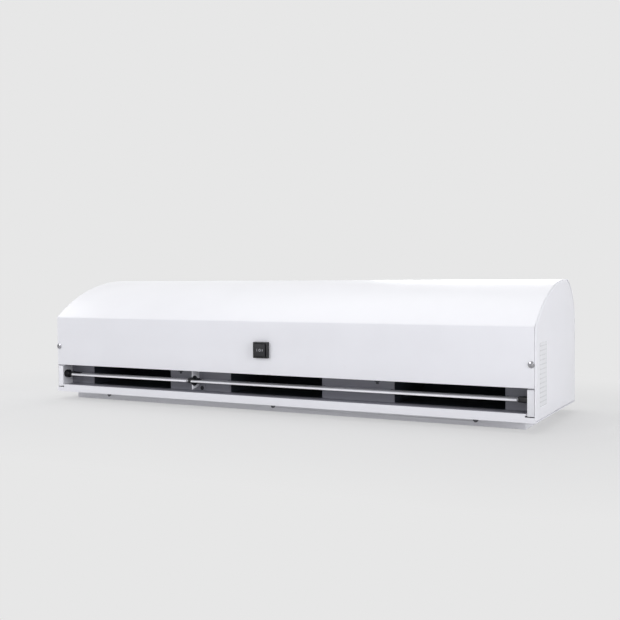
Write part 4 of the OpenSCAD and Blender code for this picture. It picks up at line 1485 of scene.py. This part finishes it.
@dataclass
class Switch:
    """The rocker switch: a housing with a stepped bezel, and a dished rocker with three marks.

    Attributes:
        casing: The casing that it is set in.
        x: Where it sits along the casing.
        z: The height of its centre.
        width: The bezel's width.
        height: The bezel's height.
        narrower: How much narrower the rocker is.
        lower: How much lower it is.
        proud: How far the bezel stands out.
        rocker_proud: How far the rocker's ends stand out of the bezel.
        tilt: How far the rocker tips, in degrees.
        axis_in: From the bezel's face to the rocker's axis.
        gap: The gap round the rocker.
        dish: The radius of the rocker's dished face.
        dish_depth: How deep the dish is.
        neck: How far the neck goes in behind the panel.
        neck_in: How far the neck's sides stand in from the bezel's.
        pocket: How deep the rocker's pocket is.
        rim: Width of the bezel's outer rim.
        step: Width of the step inside the rim.
        step_in: How deep the step goes.
        corner: Radius of the bezel's outer edges.
        tabs: Where the three terminals stand, from the switch's middle.
        tab_half: Half their thickness.
        tab_low: Their inner, lower corner, as y and z.
        tab_high: Their outer, upper corner.
        tab_corner: How far their outer corners are cut off.
        flank: The rocker's side under its face, from its waist and its axis.
        root: Its corner at the rear, from its middle and its axis.
        pin: Radius of the rocker's pins.
        pin_length: How far they stand out of the rocker.
        dish_steps: How many steps the rocker's face has.
        bars: Each bar mark's name, its bars' places and their length.
        bar_half: Half a bar's width.
        bar_faces: How far a bar's face and foot lie behind the dish.
        ring_x: Where the ring mark sits, from the switch's middle.
        ring: Its radius and its line's.
        ring_scale: How the ring is flattened and drawn out.
        ring_in: How far its middle lies behind the dish.
    """

    casing: Casing
    x: float = -2.0
    z: float = 91.0
    width: float = 27.5
    height: float = 26.5
    narrower: float = 6.0
    lower: float = 6.5
    proud: float = 6.5
    rocker_proud: float = 1.8
    tilt: float = 11.0
    axis_in: float = 5.0
    gap: float = 0.35
    dish: float = 34.0
    dish_depth: float = 1.3
    neck: float = 22.0
    neck_in: float = 2.3
    pocket: float = 23.0
    rim: float = 1.7
    step: float = 0.35
    step_in: float = 0.45
    corner: float = 1.0
    tabs: tuple[float, float, float] = (-6.0, 0.0, 6.0)
    tab_half: float = 0.4
    tab_low: tuple[float, float] = (22.0, -6.0)
    tab_high: tuple[float, float] = (31.0, 4.0)
    tab_corner: float = 1.2
    flank: tuple[tuple[float, float], ...] = ((0.0, -2.0), (-0.9, 1.0))
    root: tuple[float, float] = (4.0, 5.0)
    pin: float = 1.5
    pin_length: float = 1.6
    dish_steps: int = 12
    bars: tuple[tuple[str, tuple[float, ...], float], ...] = (
        ("mark_one", (-5.6,), 4.0), ("mark_two", (4.5, 6.0), 3.4))
    bar_half: float = 0.45
    bar_faces: tuple[float, float] = (-0.04, 0.2)
    ring_x: float = -0.3
    ring: tuple[float, float] = (1.6, 0.5)
    ring_scale: tuple[float, float, float] = (1.0, 0.4, 1.1)
    ring_in: float = 0.05

    @property
    def rocker_width(self) -> float:
        """Width of the rocker."""
        return self.width - self.narrower

    @property
    def rocker_height(self) -> float:
        """Height of the rocker."""
        return self.height - self.lower

    def at(self, x: float, y: float, z: float) -> Vector:
        """Turn a place on the switch, in millimetres from its centre, into the frame's metres."""
        return self.casing.place(self.x + x, y, self.z + z)

    def build(self) -> None:
        """Build the housing with its terminals, the rocker and its marks."""
        self.housing().dress(MOULDING, stands_for=["switch_body"])
        self.rocker().dress(ROCKER, "rocker", ["switch_rocker"])
        for piece in self.marks():
            piece.dress(MARK, "rocker")

    def on_rim(self, at: Vector, way: Vector) -> bool:
        """Tell whether an edge runs round the bezel's face or back along one of its corners.

        Args:
            at: The edge's middle.
            way: Its direction.

        Returns:
            Whether it does.
        """
        centre = self.at(0, -self.proud, 0)
        beside = abs(abs(at.x - centre.x) - self.width / 2 * MM) < HAIR
        above = abs(abs(at.z - centre.z) - self.height / 2 * MM) < HAIR
        round_face = abs(at.y - centre.y) < HAIR and (beside or above)
        return round_face or (abs(way.y) > 0.99 and beside and above)

    def housing(self) -> Workpiece:
        """Mould the housing: a rounded bezel, a neck behind the panel and a pocket for the rocker.

        Returns:
            The housing.
        """
        half_w, half_h = self.width / 2, self.height / 2
        piece = Workpiece.block("switch_housing", self.at(-half_w, -self.proud, -half_h),
                                self.at(half_w, -0.05, half_h))
        face = self.at(0, -self.proud, 0)
        with piece.shaping():
            piece.hold(Pick.FACES, lambda at, way: way.y > 0.99)
            bpy.ops.mesh.inset(thickness=self.neck_in * MM)
            piece.pull(BACK * self.neck * MM)
            piece.hold(Pick.FACES, lambda at, way: way.y < -0.99 and abs(at.y - face.y) < HAIR)
            bpy.ops.mesh.inset(thickness=self.rim * MM)
            bpy.ops.mesh.inset(thickness=self.step * MM, depth=-self.step_in * MM)
            land = half_w - self.rim - self.step - self.rocker_width / 2 - self.gap
            bpy.ops.mesh.inset(thickness=land * MM)
            piece.pull(BACK * self.pocket * MM)
            piece.bevel(self.on_rim, self.corner, 4)
        tabs = []
        for x in self.tabs:
            low, high = self.at(x - self.tab_half, *self.tab_low), self.at(x + self.tab_half, *self.tab_high)
            tabs.append(Workpiece.block("tab", low, high))
            with tabs[-1].shaping():
                tabs[-1].bevel(lambda at, way: abs(way.x) > 0.9 and at.y > high.y - MM, self.tab_corner, 2)
        return piece.absorb(*tabs)

    def rocker(self) -> Workpiece:
        """Mould the rocker: it narrows from its face to its pins, and its face is dished.

        Returns:
            The rocker, with its two pins.
        """
        half_h = self.rocker_height / 2
        face_y = -self.proud - self.rocker_proud
        axis_y = self.axis_in - self.proud
        reach = axis_y - face_y
        lean = math.radians(self.tilt)
        face_half = (self.rocker_width / 2 + self.gap / 2 - reach * math.sin(lean)) / math.cos(lean)
        waist = self.rocker_width / 2 - self.gap
        top = []
        for step in range(self.dish_steps + 1):
            x = face_half * (2 * step / self.dish_steps - 1)
            top.append((x, max(face_y, self.dish_at(x))))
        side = [(waist + x, axis_y + y) for x, y in self.flank] + [(self.root[0], axis_y + self.root[1])]
        ring = top + side + [(-x, y) for x, y in reversed(side)]
        piece = Workpiece.prism("rocker", [self.at(x, y, -half_h) for x, y in ring], UP * 2 * half_h * MM)
        piece.ease(0.35 * MM, 3, 35)
        end = half_h + self.pin_length
        return piece.absorb(Workpiece.rod("pins", self.at(0, axis_y, -end), self.at(0, axis_y, end),
                                          self.pin * MM, 24))

    def dish_at(self, x: float) -> float:
        """Return how far back the rocker's dish lies.

        Args:
            x: Where, from the switch's middle.

        Returns:
            The dish's y there.
        """
        face_y = -self.proud - self.rocker_proud
        return face_y - self.dish + self.dish_depth + math.sqrt(self.dish ** 2 - x ** 2)

    def marks(self) -> list[Workpiece]:
        """Lay the three position marks into the rocker's dish: a bar, a ring and a double bar.

        Returns:
            The marks.
        """
        bars: list[Workpiece] = []
        face, foot = self.bar_faces
        for name, offsets, size in self.bars:
            parts = []
            for x in offsets:
                y = self.dish_at(x)
                bar = Workpiece.block(name, self.at(x - self.bar_half, y + face, -size / 2),
                                      self.at(x + self.bar_half, y + foot, size / 2))
                parts.append(bar.ease(0.06 * MM, 1))
            bars.append(parts[0].absorb(*parts[1:]))
        clear_selection()
        middle = self.at(self.ring_x, self.dish_at(0) + self.ring_in, 0)
        radius, line = self.ring
        bpy.ops.mesh.primitive_torus_add(
            location=middle, rotation=(math.pi / 2, 0, 0), major_radius=radius * MM,
            minor_radius=line * MM, major_segments=32, minor_segments=8)
        ring = Workpiece("mark_ring")
        with ring.shaping():
            bpy.ops.mesh.select_all(action="SELECT")
            bpy.ops.transform.resize(value=self.ring_scale, center_override=middle)
        return [*bars, ring]


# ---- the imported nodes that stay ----


@dataclass(frozen=True)
class Softening:
    """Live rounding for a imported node's sharp edges.

    Attributes:
        width: The rounding's width, in millimetres.
        segments: How many steps it has.
        angle: The least angle that counts as an edge, in degrees.
        seam: How far apart corners may lie and still be joined first, in millimetres.
    """

    width: float
    segments: int = 2
    angle: float = 50.0
    seam: float = 0.002

    def put_on(self, node: str) -> None:
        """Round a node's edges without touching its mesh.

        Args:
            node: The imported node.
        """
        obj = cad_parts[node]
        weld = obj.modifiers.new("weld", "WELD")
        weld.merge_threshold = self.seam * MM
        bevel = obj.modifiers.new("ease", "BEVEL")
        bevel.width = self.width * MM
        bevel.segments = self.segments
        bevel.limit_method = "ANGLE"
        bevel.angle_limit = math.radians(self.angle)
        obj.modifiers.new("normals", "WEIGHTED_NORMAL").keep_sharp = False


NODE_FINISHES: dict[Finish, tuple[str, ...]] = {
    WHITE: ("back_panel", "intake_grille", "rear_panel", "wall_plate"),
    LINING: ("outlet_deck",),
    BLACK_COAT: ("scroll_left", "scroll_mid", "scroll_right", "inlet_rings"),
    ZINC: ("impeller_left", "impeller_mid", "impeller_right", "motor_cradles", "motor_straps"),
    STEEL: ("hood_screws", "rear_screws", "shaft_a", "shaft_b", "motor_bearings"),
    CHROME: ("cover_screws",),
    PLATED: ("plate_screws",),
    DARK_STEEL: ("deck_bolts", "scroll_screws", "hub_grubs_a", "hub_grubs_b", "motor_bolts",
                 "bracket_screw"),
    CAST: ("motor_can_a", "motor_can_b", "motor_ends_a", "motor_ends_b", "capacitors"),
    IRON: ("stator_a", "stator_b", "rotor_core_a", "rotor_core_b"),
    IVORY: ("terminal_block", "harness_clips"),
    RUBBER: ("cable_grommet", "wire_harness"),
    MOULDING: ("pivot_bushes",),
}
SOFT_NODES: dict[Softening, tuple[str, ...]] = {
    Softening(0.45, 3): ("back_panel", "outlet_deck"),
    Softening(0.3): ("rear_panel", "wall_plate", "pivot_bushes", "cable_grommet",
                     "motor_cradles", "capacitors", "terminal_block"),
    Softening(0.15): ("plate_screws", "cover_screws", "rear_screws", "deck_bolts", "bracket_screw",
                      "motor_bolts"),
}


def dress_nodes() -> None:
    """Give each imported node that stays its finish, and round its edges where they show."""
    for finish, nodes in NODE_FINISHES.items():
        for node in nodes:
            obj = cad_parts[node]
            if not obj.material_slots:
                obj.data.materials.append(None)
            for material_slot in obj.material_slots:
                material_slot.material = finish.material()
            log.info("%s: packed node in %s", node, finish.name)
    for softening, nodes in SOFT_NODES.items():
        for node in nodes:
            softening.put_on(node)


# ---- studio ----


def seen_directly(board: Board) -> Socket:
    """Tell the rays that show the background, straight, mirrored or through glass, from those that light.

    Args:
        board: The floor's or the world's board.

    Returns:
        A socket that is 1 for the rays that show the background.
    """
    rays = board.add("ShaderNodeLightPath")
    straight = board.math("MAXIMUM", rays.outputs["Is Camera Ray"], rays.outputs["Is Transmission Ray"])
    return board.math("MAXIMUM", straight, rays.outputs["Is Glossy Ray"])


@dataclass(frozen=True)
class Lamp:
    """A round soft lamp that looks at the object.

    Attributes:
        name: The lamp's name.
        at: Where it hangs, in metres.
        size: Its diameter.
        power: Its power, in watts.
        colour: Its colour, linear.
        target: What it looks at, in metres.
    """

    name: str
    at: tuple[float, float, float]
    size: float
    power: float
    colour: Colour = (1.0, 1.0, 1.0)
    target: tuple[float, float, float] = (0.0, 0.0, 0.1)

    def hang(self) -> None:
        """Hang the lamp and turn it towards the object."""
        clear_selection()
        bpy.ops.object.light_add(type="AREA", location=self.at)
        lamp = bpy.context.object
        lamp.name = self.name
        lamp.data.shape = "DISK"
        lamp.data.size = self.size
        lamp.data.energy = self.power
        lamp.data.color = self.colour
        way = Vector(self.target) - Vector(self.at)
        lamp.rotation_euler = way.to_track_quat("-Z", "Y").to_euler()


@dataclass
class Studio:
    """The floor, the light and the camera.

    Attributes:
        ground: The background's colour as displayed, linear.
        daylight: The surrounding light's colour.
        sky: The surrounding light's strength.
        shadow: How much of the floor near the object is lit by the lamps, and so takes its shadow.
        shadow_lit: How brightly the lamps light the floor, which its lit share allows for.
        shadow_near: How far from the object's middle the floor's shadow begins to fade.
        shadow_far: Where it has faded.
        floor_radius: How far the floor reaches.
        floor_drop: How far it lies under the object, so that the two don't flicker.
        eye: Where the camera stands.
        yaw: How far it is turned to the left of +Y, in degrees.
        pitch: How far it looks down, in degrees.
        roll: How far it leans, in degrees.
        lens: Its focal length, in millimetres.
        sensor: Its sensor's width, in millimetres.
        lamps: The lamps.
    """

    ground: Colour = tone(231, 231, 231)
    daylight: Colour = (0.97, 0.98, 1.0)
    sky: float = 0.37
    shadow: float = 0.45
    shadow_lit: float = 1.12
    shadow_near: float = 0.10
    shadow_far: float = 0.45
    floor_radius: float = 14.0
    floor_drop: float = 0.0002
    eye: tuple[float, float, float] = (0.783, -1.42495, 0.2305)
    yaw: float = 28.10
    pitch: float = 2.26
    roll: float = -0.48
    lens: float = 53.65
    sensor: float = 36.0
    lamps: tuple[Lamp, ...] = (
        Lamp("overhead", (-0.3, 0.3, 2.4), 2.6, 27.0, (1.0, 1.0, 0.985)),
        Lamp("front_left", (-1.2, -2.1, 1.25), 1.0, 15.0, (0.98, 0.98, 1.04)),
        Lamp("front_right", (1.5, -2.1, 1.15), 1.0, 3.5, (0.98, 0.98, 1.04)),
        Lamp("low_front", (0.4, -2.6, 0.42), 0.8, 4.5, (0.98, 0.98, 1.04)),
        Lamp("right", (3.0, -1.0, 0.6), 1.2, 32.0, (0.98, 0.98, 1.03)),
        Lamp("left", (-2.8, 0.6, 1.0), 1.4, 17.0),
        Lamp("rear", (-0.3, 2.9, 0.9), 1.6, 20.0),
    )

    def build(self) -> None:
        """Set up the whole studio."""
        self.camera()
        self.floor()
        self.world()
        for lamp in self.lamps:
            lamp.hang()
        bpy.context.scene.view_settings.view_transform = "Standard"

    def camera(self) -> None:
        """Stand the camera where the photograph was taken from."""
        yaw, pitch, roll = (math.radians(angle) for angle in (self.yaw, self.pitch, self.roll))
        ahead = Vector((-math.sin(yaw) * math.cos(pitch), math.cos(yaw) * math.cos(pitch), -math.sin(pitch)))
        right = Vector((math.cos(yaw), math.sin(yaw), 0))
        above = right.cross(ahead)
        side = right * math.cos(roll) + above * math.sin(roll)
        top = above * math.cos(roll) - right * math.sin(roll)
        clear_selection()
        bpy.ops.object.camera_add()
        camera = bpy.context.object
        camera.name = "camera"
        turn = Matrix((side, top, -ahead)).transposed().to_4x4()
        camera.matrix_world = Matrix.Translation(self.eye) @ turn
        camera.data.lens = self.lens
        camera.data.sensor_width = self.sensor
        camera.data.clip_start, camera.data.clip_end = 0.05, 60
        bpy.context.scene.camera = camera

    def floor(self) -> None:
        """Lay the pale floor, which keeps the object's shadow and runs out into the background."""
        clear_selection()
        bpy.ops.mesh.primitive_circle_add(vertices=96, radius=self.floor_radius, fill_type="NGON",
                                          location=(0, 0, -self.floor_drop))
        floor = bpy.context.object
        floor.name = "studio_floor"
        material = bpy.data.materials.new("studio_floor")
        board = Board.blank(material)
        low, high = CAD_BOUNDS
        half = Vector(((high.x - low.x) / 2, (high.y - low.y) / 2, 0))
        place = board.add("ShaderNodeTexCoord").outputs["Object"]
        past = board.vector("SUBTRACT", board.vector("ABSOLUTE", place)[0], half)[0]
        away = board.vector("LENGTH", board.vector("MAXIMUM", past, (0, 0, 0))[0])["Value"]
        glowing = board.ramp(away, self.shadow_near, self.shadow_far, 1 - self.shadow)
        matt = board.add("ShaderNodeBsdfDiffuse", Color=[value / self.shadow_lit for value in self.ground])
        glow = board.add("ShaderNodeEmission", Color=self.ground, Strength=1.0)
        share = board.math("MULTIPLY", seen_directly(board), glowing)
        mixed = board.add("ShaderNodeMixShader", _0=share, _1=matt.outputs[0], _2=glow.outputs[0])
        board.add("ShaderNodeOutputMaterial", _0=mixed.outputs[0])
        floor.data.materials.append(material)

    def world(self) -> None:
        """Fill the studio with even light, and show the background's colour to the camera."""
        world = bpy.data.worlds.new("studio")
        bpy.context.scene.world = world
        board = Board.blank(world)
        light = board.add("ShaderNodeBackground", Color=self.daylight, Strength=self.sky)
        shown = board.add("ShaderNodeBackground", Color=self.ground, Strength=1.0)
        mixed = board.add("ShaderNodeMixShader", _0=seen_directly(board), _1=light.outputs[0],
                          _2=shown.outputs[0])
        board.add("ShaderNodeOutputWorld", _0=mixed.outputs[0])


def main() -> None:
    """Build the studio and the object."""
    logging.basicConfig(level=logging.INFO, format="%(name)s: %(message)s")
    Studio().build()
    casing = Casing()
    casing.build()
    louvre = Louvre()
    louvre.build()
    Clips(louvre).build()
    Bracket().build()
    Switch(casing).build()
    dress_nodes()


if __name__ == "__main__":
    main()
